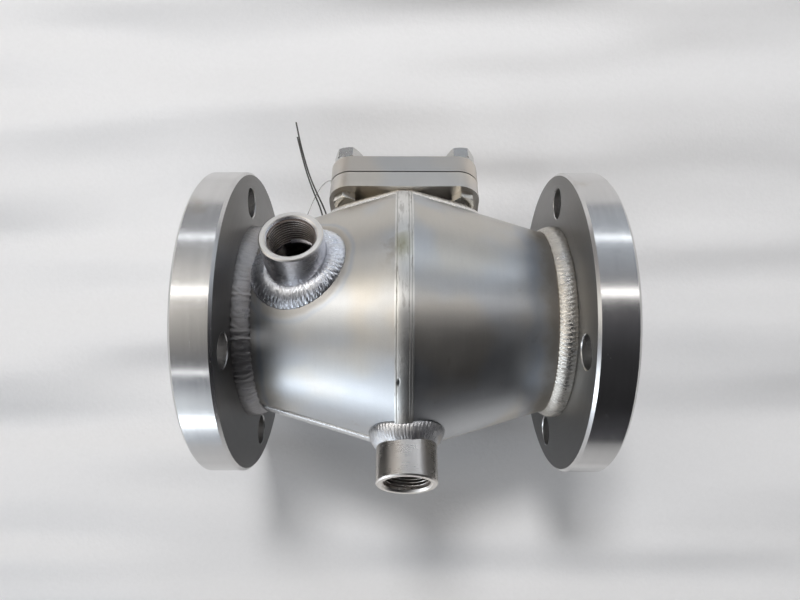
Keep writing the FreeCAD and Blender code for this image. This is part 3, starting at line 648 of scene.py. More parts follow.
@dataclass(frozen=True)
class BandSteel:
    """Crowned band between the cones, dressed smooth, with tool lines, an olive stain and one small pit."""

    name: str = "girth band"
    colour: Colour = (0.76, 0.75, 0.72)
    dark: Colour = (0.30, 0.28, 0.25)
    olive: Colour = (0.30, 0.29, 0.19)
    grooves: tuple[tuple[float, float], ...] = ((-0.0040, 0.0005), (0.0026, 0.0005), (0.0041, 0.0004))
    wander: float = 0.0007
    wander_size: float = 0.02
    line_size: float = 0.004
    line_depth: float = 0.00008
    cloud_size: float = 0.014
    streak_size: float = 0.012
    front_depth: float = 0.01
    stain_place: tuple[float, float] = (-0.001, -0.004)
    stain_reach: tuple[float, float] = (0.008, 0.017)
    pit: tuple[float, float] = (-0.0030, -0.0690)
    pit_radius: float = 0.0011

    def material(self) -> bpy.types.Material:
        """Builds the finish.

        Returns:
            The material.
        """
        shader = Shader(self.name)
        place = shader.place()
        across = place.x - MIDDLE
        wander = self.wander * (shader.noise(place.vector, self.wander_size, 2.0) - 0.5)
        shifted = across + wander
        first, *others = (shifted.near(centre, reach) for centre, reach in self.grooves)
        grooves = sum(others, first)
        fine = shader.noise(shader.joined(place.x * 8.0, place.y, place.z), self.line_size, 3.0)
        cloud = shader.noise(place.vector, self.cloud_size, 4.0)
        stretched = shader.joined(place.x * 6.0, place.y, place.z)
        streaks = shader.noise(stretched, self.streak_size, 4.0, 0.65).rise(0.52, 0.66)
        dirt = (grooves * 0.7 + streaks * 0.45 + cloud.rise(0.60, 0.72) * 0.4).least(1.0)
        front = place.y.rise(self.front_depth, -self.front_depth)
        stain = across.near(self.stain_place[0], self.stain_reach[0])
        stain = stain * place.z.near(self.stain_place[1], self.stain_reach[1])
        stain = stain * front * cloud.rise(0.34, 0.54)
        aside = across - self.pit[0] + 4.0 * wander
        lower = (place.z - self.pit[1]) * 0.6
        pit = (aside * aside + lower * lower).root().rise(self.pit_radius, self.pit_radius / 3) * front
        tone = shader.blend(0.75 * stain, shader.blend(dirt, self.colour, self.dark), self.olive)
        return shader.dress(
            Base_Color=shader.tinted(tone, (0.90 + 0.2 * fine) * (1.0 - 0.92 * pit)),
            Metallic=1.0,
            Roughness=0.33 + 0.16 * (cloud - 0.5) + 0.15 * dirt + 0.2 * stain,
            Normal=shader.relief(0.08 * fine - grooves - 2.0 * pit, self.line_depth),
        )


@dataclass(frozen=True)
class WeldSteel:
    """Weld metal: bright, with fine ripples across the bead and straw and blue heat colour."""

    name: str = "weld bead"
    colour: Colour = (0.68, 0.67, 0.66)
    straw: Colour = (0.56, 0.47, 0.34)
    blue: Colour = (0.46, 0.52, 0.64)
    roughness: float = 0.30
    ripple_pitch: float = 0.0007
    ripple_depth: float = 0.00006
    patch_size: float = 0.009
    grain: float = 0.0011
    drift_size: float = 0.004
    crown_share: float = 0.39
    warmth: float = 0.6

    def material(self) -> bpy.types.Material:
        """Builds the finish.

        Returns:
            The material.
        """
        shader = Shader(self.name)
        place = shader.place()
        along, round_section = shader.along_bead()
        aside = round_section - self.crown_share
        bow = aside * aside * 6.0
        patches = shader.noise(place.vector, self.patch_size, 3.0)
        fine = shader.noise(place.vector, self.grain, 2.0)
        drift = 1.6 * shader.noise(place.vector, self.drift_size, 1.0)
        ripples = ((along / self.ripple_pitch + bow + drift) * (2.0 * math.pi)).wave() * 0.5 + 0.5
        tone = shader.blend(patches.rise(0.55, 0.76) * self.warmth, self.colour, self.straw)
        tone = shader.blend(patches.rise(0.44, 0.28) * self.warmth * 0.8, tone, self.blue)
        level = 0.82 + 0.14 * ripples + 0.16 * fine
        return shader.dress(
            Base_Color=shader.tinted(tone, level),
            Metallic=1.0,
            Roughness=self.roughness + 0.24 * (patches - 0.5) + 0.1 * (1.0 - ripples),
            Normal=shader.relief(ripples + 0.6 * fine, self.ripple_depth),
        )


@dataclass(frozen=True)
class ThreadSteel:
    """Cut thread, bright on its crests and brown with old sealant in its roots."""

    name: str
    axis: Axis
    centre: Vector
    crest: float
    root: float
    bright: Colour = (0.86, 0.82, 0.78)
    brown: Colour = (0.07, 0.045, 0.035)
    patch_size: float = 0.005

    def material(self) -> bpy.types.Material:
        """Builds the finish.

        Returns:
            The material.
        """
        shader = Shader(self.name)
        place = shader.place()
        parts = [place.x - self.centre.x, place.y - self.centre.y, place.z - self.centre.z]
        parts.pop(self.axis.value)
        radius = (parts[0] * parts[0] + parts[1] * parts[1]).root()
        height = abs(self.root - self.crest)
        deep = abs(radius - self.crest).rise(0.02 * height, 0.22 * height)
        patches = shader.noise(place.vector, self.patch_size, 4.0)
        dirt = (deep * 0.9 + patches.rise(0.60, 0.80) * 0.3).least(1.0)
        return shader.dress(
            Base_Color=shader.blend(dirt, self.bright, self.brown),
            Metallic=1.0 - 0.4 * dirt,
            Roughness=0.24 + 0.25 * dirt,
        )


@dataclass(frozen=True)
class FastenerSteel:
    """Bright bolting: drawn flats with fine lines, grip marks and a little dirt."""

    name: str = "bright fastener"
    colour: Colour = (0.58, 0.57, 0.55)
    dark: Colour = (0.28, 0.26, 0.24)
    roughness: float = 0.20
    line_size: float = 0.0005
    cloud_size: float = 0.005
    mark_size: float = 0.003
    depth: float = 0.00002

    def material(self) -> bpy.types.Material:
        """Builds the finish.

        Returns:
            The material.
        """
        shader = Shader(self.name)
        place = shader.place()
        drawn = shader.noise(shader.joined(place.x, place.y, place.z * 0.08), self.line_size, 3.0)
        cloud = shader.noise(place.vector, self.cloud_size, 4.0)
        squeezed = shader.joined(place.x, place.y, place.z * 3.0)
        marks = shader.noise(squeezed, self.mark_size, 2.0).rise(0.60, 0.72)
        dirt = (cloud.rise(0.58, 0.74) * 0.5 + marks * 0.35).least(1.0)
        return shader.dress(
            Base_Color=shader.tinted(shader.blend(dirt, self.colour, self.dark), 0.90 + 0.2 * drawn),
            Metallic=1.0,
            Roughness=self.roughness + 0.18 * (cloud - 0.5) + 0.2 * dirt,
            Normal=shader.relief(0.3 * drawn - 0.3 * marks, self.depth),
        )


@dataclass(frozen=True)
class CoverSteel:
    """Machined cover and flange block, with a milled top and warm satin sides."""

    name: str
    top: float
    colour: Colour = (0.60, 0.58, 0.55)
    warm: Colour = (0.66, 0.60, 0.53)
    roughness: float = 0.30
    mill_pitch: float = 0.0011
    mill_centre: tuple[float, float] = (0.095, -0.19)
    edge: float = 0.0003
    grain: float = 0.0007
    cloud_size: float = 0.013
    broad_size: float = 0.05
    depth: float = 0.00003

    def material(self) -> bpy.types.Material:
        """Builds the finish.

        Returns:
            The material.
        """
        shader = Shader(self.name)
        place = shader.place()
        on_top = place.z.rise(self.top - self.edge, self.top - self.edge / 3)
        aside = place.x - self.mill_centre[0]
        forward = place.y - self.mill_centre[1]
        arc = (aside * aside + forward * forward).root()
        milled = (arc * (2.0 * math.pi / self.mill_pitch)).wave() * 0.5 + 0.5
        fine = shader.noise(place.vector, self.grain, 3.0)
        cloud = shader.noise(place.vector, self.cloud_size, 5.0, 0.6)
        broad = shader.noise(place.vector, self.broad_size, 1.0)
        tone = shader.blend(broad.rise(0.40, 0.60), self.colour, self.warm)
        shade = 0.92 + 0.06 * fine + 0.05 * cloud + 0.06 * milled * on_top
        return shader.dress(
            Base_Color=shader.tinted(tone, shade),
            Metallic=1.0,
            Roughness=self.roughness + 0.06 * (cloud - 0.5),
            Normal=shader.relief(0.2 * fine + 0.5 * milled * on_top, self.depth),
        )


@dataclass(frozen=True)
class GraphiteSheet:
    """Black gasket sheet."""

    name: str = "graphite gasket"
    dark: Colour = (0.012, 0.012, 0.013)
    light: Colour = (0.035, 0.034, 0.033)
    grain: float = 0.0008
    depth: float = 0.00004
    roughness: float = 0.65

    def material(self) -> bpy.types.Material:
        """Builds the finish.

        Returns:
            The material.
        """
        shader = Shader(self.name)
        place = shader.place()
        speckle = shader.noise(place.vector, self.grain, 3.0)
        return shader.dress(
            Base_Color=shader.blend(speckle, self.dark, self.light),
            Roughness=self.roughness + 0.3 * (speckle - 0.5),
            Specular_IOR_Level=0.1,
            Normal=shader.relief(speckle, self.depth),
        )


@dataclass(frozen=True)
class WireSteel:
    """Soft wire, dull from annealing or drawn bright."""

    name: str
    low: Colour
    high: Colour
    roughness: float
    patch_size: float = 0.006
    grain: float = 0.0006
    depth: float = 0.00002

    def material(self) -> bpy.types.Material:
        """Builds the finish.

        Returns:
            The material.
        """
        shader = Shader(self.name)
        place = shader.place()
        patches = shader.noise(place.vector, self.patch_size, 3.0)
        fine = shader.noise(place.vector, self.grain, 2.0)
        return shader.dress(
            Base_Color=shader.blend(0.7 * patches + 0.3 * fine, self.low, self.high),
            Metallic=1.0,
            Roughness=self.roughness + 0.2 * (patches - 0.5),
            Normal=shader.relief(fine, self.depth),
        )


@dataclass(frozen=True)
class FoamSheet:
    """White packing foam with long soft waves."""

    name: str = "packing foam"
    colour: Colour = (0.84, 0.84, 0.85)
    pore_shade: float = 0.95
    pore_size: float = 0.003
    wave_size: float = 0.085
    wave_stretch: float = 0.22
    wave_depth: float = 0.05
    pore_share: float = 0.004
    roughness: float = 0.75

    def material(self) -> bpy.types.Material:
        """Builds the finish. It shows nothing from behind.

        Returns:
            The material.
        """
        shader = Shader(self.name)
        place = shader.place()
        stretched = shader.joined(place.x * self.wave_stretch, place.y, place.z)
        waves = shader.noise(stretched, self.wave_size, 1.0)
        pores = shader.noise(place.vector, self.pore_size, 2.0)
        in_pores = tuple(self.pore_shade * part for part in self.colour)
        shader.dress(
            Base_Color=shader.blend(pores, in_pores, self.colour),
            Roughness=self.roughness,
            Normal=shader.relief(waves + self.pore_share * pores, self.wave_depth),
        )
        clear = shader.node("ShaderNodeBsdfTransparent", {}, {}).outputs[0]
        behind = shader.node("ShaderNodeNewGeometry", {}, {}).outputs["Backfacing"]
        shown = {0: behind, 1: shader.surface.outputs[0], 2: clear}
        mixed = shader.node("ShaderNodeMixShader", {}, shown).outputs[0]
        shader.feed(shader.output.inputs[0], mixed)
        return shader.material


def placed(name: str, data: bpy.types.ID) -> bpy.types.Object:
    """Puts a new object with this data in the scene.

    Args:
        name: The object's name.
        data: Its mesh, curve, lamp or camera.

    Returns:
        The object.
    """
    made = bpy.data.objects.new(name, data)
    bpy.context.scene.collection.objects.link(made)
    return made


def mesh_of(name: str, shape: bmesh.types.BMesh, material: bpy.types.Material) -> bpy.types.Mesh:
    """Turns a shape into a mesh with a finish.

    Args:
        name: The mesh's name.
        shape: The shape, which is freed.
        material: The finish.

    Returns:
        The mesh.
    """
    mesh = bpy.data.meshes.new(name)
    shape.to_mesh(mesh)
    shape.free()
    mesh.materials.append(material)
    return mesh


@dataclass(frozen=True)
class PhotoView:
    """How the photograph sees the valve: lying on its back, from over its lower front."""

    station: float = 0.11905
    away: float = 0.3305
    below: float = 0.2107
    lean: float = math.radians(34.5)
    yaw: float = 0.0025
    roll: float = 0.0034
    lens: float = 26.78
    sensor: float = 36.0
    nearest: float = 0.01
    farthest: float = 50.0
    floor_depth: float = 0.09525

    def forward(self) -> Vector:
        """Direction of the view."""
        return Vector((0.0, math.cos(self.lean), math.sin(self.lean)))

    def upward(self) -> Vector:
        """Upward direction in the picture."""
        return Vector((0.0, -math.sin(self.lean), math.cos(self.lean)))

    def level(self, right: float, up: float, near: float) -> Vector:
        """A point by its place in the picture's own directions.

        Args:
            right: Metres to the right of the valve's middle.
            up: Metres up the picture.
            near: Metres towards the camera from the valve's centre line.

        Returns:
            The point in the valve's frame.
        """
        middle = Vector((self.station, 0.0, 0.0))
        return middle + Vector((right, 0.0, 0.0)) + self.upward() * up - self.forward() * near

    def camera(self) -> bpy.types.Object:
        """Makes the scene's camera.

        Returns:
            The camera.
        """
        data = bpy.data.cameras.new("photo camera")
        data.lens = self.lens
        data.sensor_width = self.sensor
        data.clip_start = self.nearest
        data.clip_end = self.farthest
        made = placed("photo camera", data)
        turn = Matrix((Vector((1.0, 0.0, 0.0)), self.upward(), -self.forward())).transposed()
        aim = turn @ Matrix.Rotation(self.yaw, 3, "Y") @ Matrix.Rotation(self.roll, 3, "Z")
        made.matrix_world = Matrix.Translation((self.station, -self.away, -self.below)) @ aim.to_4x4()
        bpy.context.scene.camera = made
        return made


@dataclass(frozen=True)
class Panel:
    """A flat rectangle of the studio that faces the valve, placed by its direction from it."""

    name: str
    angle: float
    away: float
    aside: float
    width: float
    height: float

    def place(self, view: PhotoView) -> Matrix:
        """Where it stands, its Z away from the valve.

        Args:
            view: The photograph's view, which the angle is measured in.

        Returns:
            Its matrix.
        """
        turn = math.radians(self.angle)
        spot = view.level(self.aside, self.away * math.sin(turn), self.away * math.cos(turn))
        back = (spot - view.level(0.0, 0.0, 0.0)).normalized()
        side = Vector((1.0, 0.0, 0.0))
        side = (side - back * side.dot(back)).normalized()
        facing = Matrix((side, back.cross(side), back)).transposed()
        return Matrix.Translation(spot) @ facing.to_4x4()


@dataclass(frozen=True)
class Lamp(Panel):
    """A soft rectangular lamp."""

    power: float = 1.0
    colour: Colour = (1.0, 1.0, 1.0)
    mirrored: bool = True

    def build(self, view: PhotoView) -> bpy.types.Object:
        """Makes the lamp.

        Args:
            view: The photograph's view, which the lamp is placed in.

        Returns:
            The lamp.
        """
        data = bpy.data.lights.new(self.name, "AREA")
        data.shape = "RECTANGLE"
        data.size = self.width
        data.size_y = self.height
        data.energy = self.power
        data.color = self.colour
        made = placed(self.name, data)
        made.matrix_world = self.place(view)
        made.visible_glossy = self.mirrored
        return made


Stops = tuple[tuple[float, Colour], ...]


@dataclass(frozen=True)
class Tent:
    """Softly lit walls that only metal reflects: bright above and on the left, dark at the lower right.

    The stops are brightness by angle in degrees, from the camera's side up the picture.
    """

    size: float = 5.0
    brightness: float = 1.6
    side_fade: tuple[float, float] = (-0.55, -0.02)
    left: Stops = (
        (-180.0, (0.16, 0.16, 0.17)), (-126.0, (0.26, 0.28, 0.32)), (-104.0, (0.46, 0.51, 0.60)),
        (-80.0, (0.86, 0.93, 1.0)), (-56.0, (0.88, 0.94, 1.0)), (-42.0, (0.30, 0.32, 0.36)),
        (-26.0, (0.20, 0.20, 0.21)), (-8.0, (0.42, 0.41, 0.39)), (8.0, (0.66, 0.64, 0.60)),
        (32.0, (0.76, 0.74, 0.70)), (46.0, (0.44, 0.43, 0.41)), (62.0, (0.22, 0.21, 0.21)),
        (110.0, (0.22, 0.22, 0.22)), (150.0, (0.14, 0.14, 0.14)),
    )
    right: Stops = (
        (-180.0, (0.08, 0.08, 0.085)), (-110.0, (0.08, 0.08, 0.085)), (-84.0, (0.045, 0.045, 0.05)),
        (-60.0, (0.014, 0.014, 0.015)), (-20.0, (0.024, 0.024, 0.026)), (-2.0, (0.05, 0.05, 0.055)),
        (14.0, (0.08, 0.08, 0.085)), (34.0, (0.21, 0.22, 0.24)), (60.0, (0.32, 0.35, 0.39)),
        (84.0, (0.30, 0.32, 0.35)), (110.0, (0.20, 0.20, 0.21)), (150.0, (0.10, 0.10, 0.10)),
    )

    @staticmethod
    def _ring(shader: Shader, angle: Signal, stops: Stops) -> bpy.types.NodeSocket:
        """Colour by the angle, which is a share of a full turn."""
        places = tuple((degrees / 360.0 + 0.5, colour) for degrees, colour in stops)
        return shader.node("ShaderNodeValToRGB", {"stops": places}, {0: angle}).outputs[0]

    def _glow(self, shader: Shader, view: PhotoView) -> bpy.types.NodeSocket:
        """Brightness by direction.

        Args:
            shader: The walls' shader.
            view: The photograph's view, which the angles are measured in.

        Returns:
            The colour that the walls give.
        """
        place = shader.place()
        facing = {"operation": "DOT_PRODUCT"}
        up = shader.signal("ShaderNodeVectorMath", facing, {0: place.vector, 1: view.upward()}, "Value")
        near = shader.signal("ShaderNodeVectorMath", facing, {0: place.vector, 1: -view.forward()}, "Value")
        angle = up.angle_from(near) / (2.0 * math.pi) + 0.5
        distance = (up * up + near * near + place.x * place.x).root()
        side = (place.x / distance).rise(*self.side_fade)
        return shader.blend(side, self._ring(shader, angle, self.left), self._ring(shader, angle, self.right))

    def build(self, view: PhotoView) -> bpy.types.Object:
        """Makes the walls.

        Args:
            view: The photograph's view, which the walls' brightness follows.

        Returns:
            The walls.
        """
        shape = bmesh.new()
        bmesh.ops.create_cube(shape, size=self.size)
        bmesh.ops.reverse_faces(shape, faces=shape.faces)
        shader = Shader("grey tent")
        glowing = shader.dress(
            Base_Color=(0.0, 0.0, 0.0),
            Roughness=1.0,
            Specular_IOR_Level=0.0,
            Emission_Color=self._glow(shader, view),
            Emission_Strength=self.brightness,
        )
        made = placed("grey tent", mesh_of("grey tent", shape, glowing))
        made.visible_camera = False
        made.visible_diffuse = False
        made.visible_shadow = False
        return made


@dataclass
class Studio:
    """Floor, soft lamps, grey tent, pale surroundings and camera."""

    view: PhotoView = field(default_factory=PhotoView)
    floor_half: float = 1.6
    panels: tuple[Lamp, ...] = (
        Lamp("main strip", angle=21.5, away=1.45, aside=0.2, width=2.6, height=0.08,
             power=3.2, colour=(1.0, 0.98, 0.96)),
        Lamp("left window", angle=22.0, away=1.45, aside=-1.3, width=0.7, height=0.6,
             power=3.0, colour=(1.0, 0.96, 0.91)),
        Lamp("upper strip", angle=62.0, away=1.45, aside=0.2, width=2.6, height=0.045,
             power=1.9, colour=(0.90, 0.95, 1.0)),
        Lamp("low strip", angle=-34.0, away=1.3, aside=-0.7, width=1.2, height=0.05,
             power=0.6, colour=(0.96, 0.98, 1.0)),
        Lamp("lower left window", angle=-74.0, away=1.4, aside=-1.2, width=2.0, height=0.24,
             power=6.5, colour=(0.82, 0.90, 1.0)),
        Lamp("floor light above", angle=36.0, away=2.4, aside=-0.3, width=0.6, height=0.45,
             power=37.0, colour=(1.0, 0.99, 0.98), mirrored=False),
        Lamp("floor light below", angle=-36.0, away=2.4, aside=0.15, width=0.8, height=0.6,
             power=6.5, colour=(1.0, 0.99, 0.98), mirrored=False),
    )
    surroundings: Colour = (0.80, 0.81, 0.83)
    strength: float = 0.09

    def build(self) -> list[bpy.types.Object]:
        """Makes everything that isn't the valve.

        Returns:
            The camera, the floor, the tent and the lamps.
        """
        camera = self.view.camera()
        floor = self._floor()
        self._surroundings()
        tent = Tent().build(self.view)
        return [camera, floor, tent, *(panel.build(self.view) for panel in self.panels)]

    def _floor(self) -> bpy.types.Object:
        """Foam sheet that the flanges rest on, behind the valve as the camera sees it.

        Returns:
            The floor.
        """
        shape = bmesh.new()
        turn = Matrix((Vector((1.0, 0.0, 0.0)), self.view.upward(), -self.view.forward()))
        spot = self.view.level(0.0, 0.0, -self.view.floor_depth)
        place = Matrix.Translation(spot) @ turn.transposed().to_4x4()
        bmesh.ops.create_grid(shape, x_segments=1, y_segments=1, size=self.floor_half, matrix=place)
        floor = placed("foam_floor", mesh_of("foam_floor", shape, FoamSheet().material()))
        return floor

    def _surroundings(self) -> None:
        """Pale room, which is seen at full strength and lights the valve only a little."""
        world = bpy.data.worlds.new("pale room")
        world.use_nodes = True
        bpy.context.scene.world = world
        nodes = NodeTree(world.node_tree)
        rays = nodes.node("ShaderNodeLightPath", {}, {}).outputs
        camera, glossy, through = (
            Signal(nodes, rays[name]) for name in ("Is Camera Ray", "Is Glossy Ray", "Is Transmission Ray")
        )
        seen = camera.most(glossy).most(through)
        background = world.node_tree.nodes["Background"].inputs
        nodes.feed(background["Color"], self.surroundings)
        nodes.feed(background["Strength"], self.strength + (1.0 - self.strength) * seen)


def dressed(material: bpy.types.Material, *names: str) -> list[bpy.types.Object]:
    """Gives CAD nodes a finish.

    Args:
        material: The finish.
        names: The nodes' names.

    Returns:
        The nodes.
    """
    nodes = [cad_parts[name] for name in names]
    for node in nodes:
        node.data.materials.clear()
        node.data.materials.append(material)
    return nodes


def finished(name: str, shape: bmesh.types.BMesh, material: bpy.types.Material,
             stands_for: Iterable[str] = (), crease: float = SMOOTH) -> bpy.types.Object:
    """Turns a shape into a piece that rides on the valve.

    Args:
        name: The piece's name.
        shape: Its shape, which is freed.
        material: Its finish.
        stands_for: The CAD nodes that it takes the place of.
        crease: Edges that turn by more degrees than this look sharp.

    Returns:
        The piece.
    """
    mesh = mesh_of(name, shape, material)
    for polygon in mesh.polygons:
        polygon.use_smooth = True
    if crease < SMOOTH:
        mesh.set_sharp_from_angle(angle=math.radians(crease))
    piece = placed(name, mesh)
    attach(piece, "valve")
    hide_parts(*stands_for)
    return piece


@dataclass(frozen=True)
class Scales:
    """How weld metal froze: overlapping scales along the bead."""

    pitch: float
    depth: float
    bow: float = 0.8
    wander: float = 0.35
    variety: float = 0.6
    seed: float = 0.0
    group: float = 9.0
    skew: float = 0.8

    def count(self, length: float) -> int:
        """How many scales a bead of a length has."""
        return max(1, round(length / self.pitch))

    def height(self, turn: float, count: int, across: float) -> float:
        """Height of the scales at a place on the bead.

        Args:
            turn: Share of the way along the bead.
            count: The bead's number of scales.
            across: Place across the bead, from -1 to 1.

        Returns:
            Metres above the bead's plain face.
        """
        angle = 2.0 * math.pi * turn
        around = Vector((math.cos(angle), math.sin(angle), 0.0)) * (count / self.group)
        drift = noise.noise(around + Vector((self.seed, 0.0, self.skew * across)))
        phase = turn * count - self.bow * across**2 + self.wander * drift
        strength = 1.0 + self.variety * noise.noise(4.0 * around + Vector((0.0, self.seed, 3.0)))
        return self.depth * strength * abs(math.sin(math.pi * phase))


@dataclass(frozen=True)
class Crown:
    """Plain face of a bead, which stands out by a height in its middle."""

    height: float
    flatness: int = 2

    def at(self, across: float) -> float:
        """Metres that the face stands out at a place across it, from -1 to 1."""
        return self.height * (1.0 - across**self.flatness)


@dataclass(frozen=True)
class Bead:
    """A closed weld bead, laid along a joint."""

    name: str
    length: float
    scales: Scales
    lay: Callable[[float, float, float], Vector]
    crown: Crown
    sink: float
    bury: float = 0.00015
    toe_wave: float = 0.06
    taper: float = 0.0
    round_steps: int = 20
    scale_steps: int = 8
    face_share: float = 0.78
    same_point: float = 1e-6
    no_length: float = 1e-7

    def shape(self) -> bmesh.types.BMesh:
        """Bends a flat grid round the bead's section and along its joint.

        Returns:
            The closed bead.
        """
        shape = bmesh.new()
        layer = shape.loops.layers.uv.new(BEAD_MAP)
        steps = self.scales.count(self.length) * self.scale_steps
        bmesh.ops.create_grid(shape, x_segments=steps, y_segments=self.round_steps, size=0.5)
        for face in shape.faces:
            for loop in face.loops:
                spot = loop.vert.co
                loop[layer].uv = ((spot.x + 0.5) * self.length, spot.y + 0.5)
        for vert in shape.verts:
            vert.co = self._point(vert.co.x + 0.5, vert.co.y + 0.5)
        bmesh.ops.remove_doubles(shape, verts=shape.verts, dist=self.same_point)
        bmesh.ops.dissolve_degenerate(shape, dist=self.no_length, edges=shape.edges)
        bmesh.ops.recalc_face_normals(shape, faces=shape.faces)
        return shape

    def _point(self, turn: float, share: float) -> Vector:
        """A point of the bead's surface.

        Args:
            turn: Share of the way along the bead.
            share: Share of the way round its section, first over its face, then underneath.

        Returns:
            The point, in metres.
        """
        count = self.scales.count(self.length)
        full = self._end(turn)
        at_toe = self.scales.height(turn, count, 1.0) / self.scales.depth
        reach = full * (1.0 + self.toe_wave * at_toe)
        if share <= self.face_share:
            across = -1.0 + 2.0 * share / self.face_share
            scale = self.scales.height(turn, count, across) * (1.0 - across**6)
            lift = self.crown.at(across) + scale
        else:
            under = (share - self.face_share) / (1.0 - self.face_share)
            across = 1.0 - 2.0 * under
            lift = -self.sink * math.sin(math.pi * under)
        return self.lay(turn, across * reach, lift * full - self.bury)

    def _end(self, turn: float) -> float:
        """How full the bead is: 1, falling to 0 in a round end where it has ends.

        Args:
            turn: Share of the way along the bead.

        Returns:
            A share from 0 to 1.
        """
        if self.taper == 0.0:
            return 1.0
        from_end = min(turn, 1.0 - turn) * self.length
        short = 1.0 - min(1.0, from_end / self.taper)
        return math.sqrt(max(0.0, 1.0 - short * short))

    def build(self, metal: bpy.types.Material, *stands_for: str) -> bpy.types.Object:
        """Makes the bead in place of CAD nodes."""
        return finished(self.name, self.shape(), metal, stands_for)


@dataclass(frozen=True)
class Fillet:
    """Straight section of a fillet weld, between its two toes."""

    first: tuple[float, float]
    last: tuple[float, float]

    def at(self, across: float, lift: float) -> tuple[float, float]:
        """A point of the section.

        Args:
            across: Place between the toes, from -1 to 1.
            lift: Metres out from the straight face.

        Returns:
            Its two coordinates.
        """
        run = (self.last[0] - self.first[0], self.last[1] - self.first[1])
        long = math.hypot(*run)
        share = (across + 1.0) / 2.0
        out = (-run[1] / long, run[0] / long)
        return (
            self.first[0] + run[0] * share + out[0] * lift,
            self.first[1] + run[1] * share + out[1] * lift,
        )


@dataclass(frozen=True)
class RingJoint:
    """Joint of a flange, all round the centre line."""

    fillet: Fillet
    face_to_face: float
    at_outlet: bool

    def at(self, turn: float, across: float, lift: float) -> Vector:
        """A point of the weld in the joint.

        Args:
            turn: Share of the way round.
            across: Place between the weld's toes, from -1 to 1.
            lift: Metres out from its straight face.

        Returns:
            The point.
        """
        station, radius = self.fillet.at(across, lift)
        angle = 2.0 * math.pi * turn
        x = self.face_to_face - station if self.at_outlet else station
        return Vector((x, radius * math.sin(angle), radius * math.cos(angle)))


@dataclass(frozen=True)
class JacketShell:
    """Outside of the heating jacket: two cones that meet at the girth."""

    middle: float = MIDDLE
    girth_half: float = 0.00525
    girth_radius: float = 0.0825
    slope: float = math.radians(16.558)
    flange_back: float = 0.0239

    def radius(self, station: float) -> float:
        """Outside radius at a station along the valve."""
        beyond = max(0.0, abs(station - self.middle) - self.girth_half)
        return self.girth_radius - beyond * math.tan(self.slope)

    def height(self, station: float, aside: float) -> float:
        """Height of the jacket over the centre line, at a distance to one side of it."""
        radius = self.radius(station)
        return math.sqrt(max(0.0, radius * radius - aside * aside))


@dataclass
class FlangeEnds:
    """Line flanges with the welds on both sides of them."""

    face_to_face: float = 0.2413
    back: float = 0.0239
    back_overlap: float = 0.0001
    top_radius: float = 0.0616
    toe_station: float = 0.0341
    toe_radius: float = 0.0583
    flange_sink: float = 0.0022
    pipe_start: float = 0.0009
    pipe_end: float = 0.0040
    bore_radius: float = 0.0303
    pipe_middle_radius: float = 0.0272
    pipe_sink: float = 0.0008
    inlet_crown: Crown = Crown(0.0009)
    outlet_crown: Crown = Crown(0.0013)
    pipe_crown: Crown = Crown(0.0004)
    inlet_scales: Scales = Scales(0.0044, 0.00013, bow=1.1, wander=0.9, variety=0.9, seed=3.0)
    outlet_scales: Scales = Scales(0.0028, 0.00026, bow=0.7, wander=0.35, variety=0.6, seed=11.0)
    pipe_scales: Scales = Scales(0.0030, 0.00025, bow=0.7, wander=0.4, variety=0.5, seed=5.0)
    # Painted shade: the inlet bead's weld metal is much darker than the outlet's, for the shade beside the
    # inlet flange.
    inlet_steel: WeldSteel = WeldSteel("inlet weld bead", (0.37, 0.36, 0.36), roughness=0.30, warmth=0.12)
    outlet_steel: WeldSteel = WeldSteel("outlet weld bead", (0.60, 0.57, 0.52), roughness=0.19, warmth=0.25)

    def build(self) -> list[bpy.types.Object]:
        """Dresses the flanges and lays their welds.

        Returns:
            The dressed nodes and the new pieces.
        """
        flanges = dressed(FlangeSteel().material(), "inlet_flange", "outlet_flange")
        joint = Fillet((self.back - self.back_overlap, self.top_radius), (self.toe_station, self.toe_radius))
        bore = Fillet((self.pipe_start, self.bore_radius), (self.pipe_end, self.pipe_middle_radius))
        inlet_joint, outlet_joint, inlet_bore, outlet_bore = (
            RingJoint(fillet, self.face_to_face, at_outlet).at
            for fillet in (joint, bore)
            for at_outlet in (False, True)
        )
        length = 2.0 * math.pi * self.top_radius
        inside = 2.0 * math.pi * self.bore_radius
        inlet = Bead("inlet_flange_bead", length, self.inlet_scales, inlet_joint, self.inlet_crown,
                     self.flange_sink, toe_wave=0.16, scale_steps=12)
        outlet = Bead("outlet_flange_bead", length, self.outlet_scales, outlet_joint, self.outlet_crown,
                      self.flange_sink)
        in_pipe = Bead("inlet_pipe_bead", inside, self.pipe_scales, inlet_bore, self.pipe_crown,
                       self.pipe_sink)
        out_pipe = Bead("outlet_pipe_bead", inside, self.pipe_scales, outlet_bore, self.pipe_crown,
                        self.pipe_sink)
        # Painted shade: the inlet bead takes the darker weld metal.
        dull = self.inlet_steel.material()
        bright = self.outlet_steel.material()
        return [
            *flanges,
            inlet.build(dull, "inlet_flange_weld"),
            outlet.build(bright, "outlet_flange_weld"),
            in_pipe.build(bright, "inlet_pipe_weld"),
            out_pipe.build(bright, "outlet_pipe_weld"),
        ]


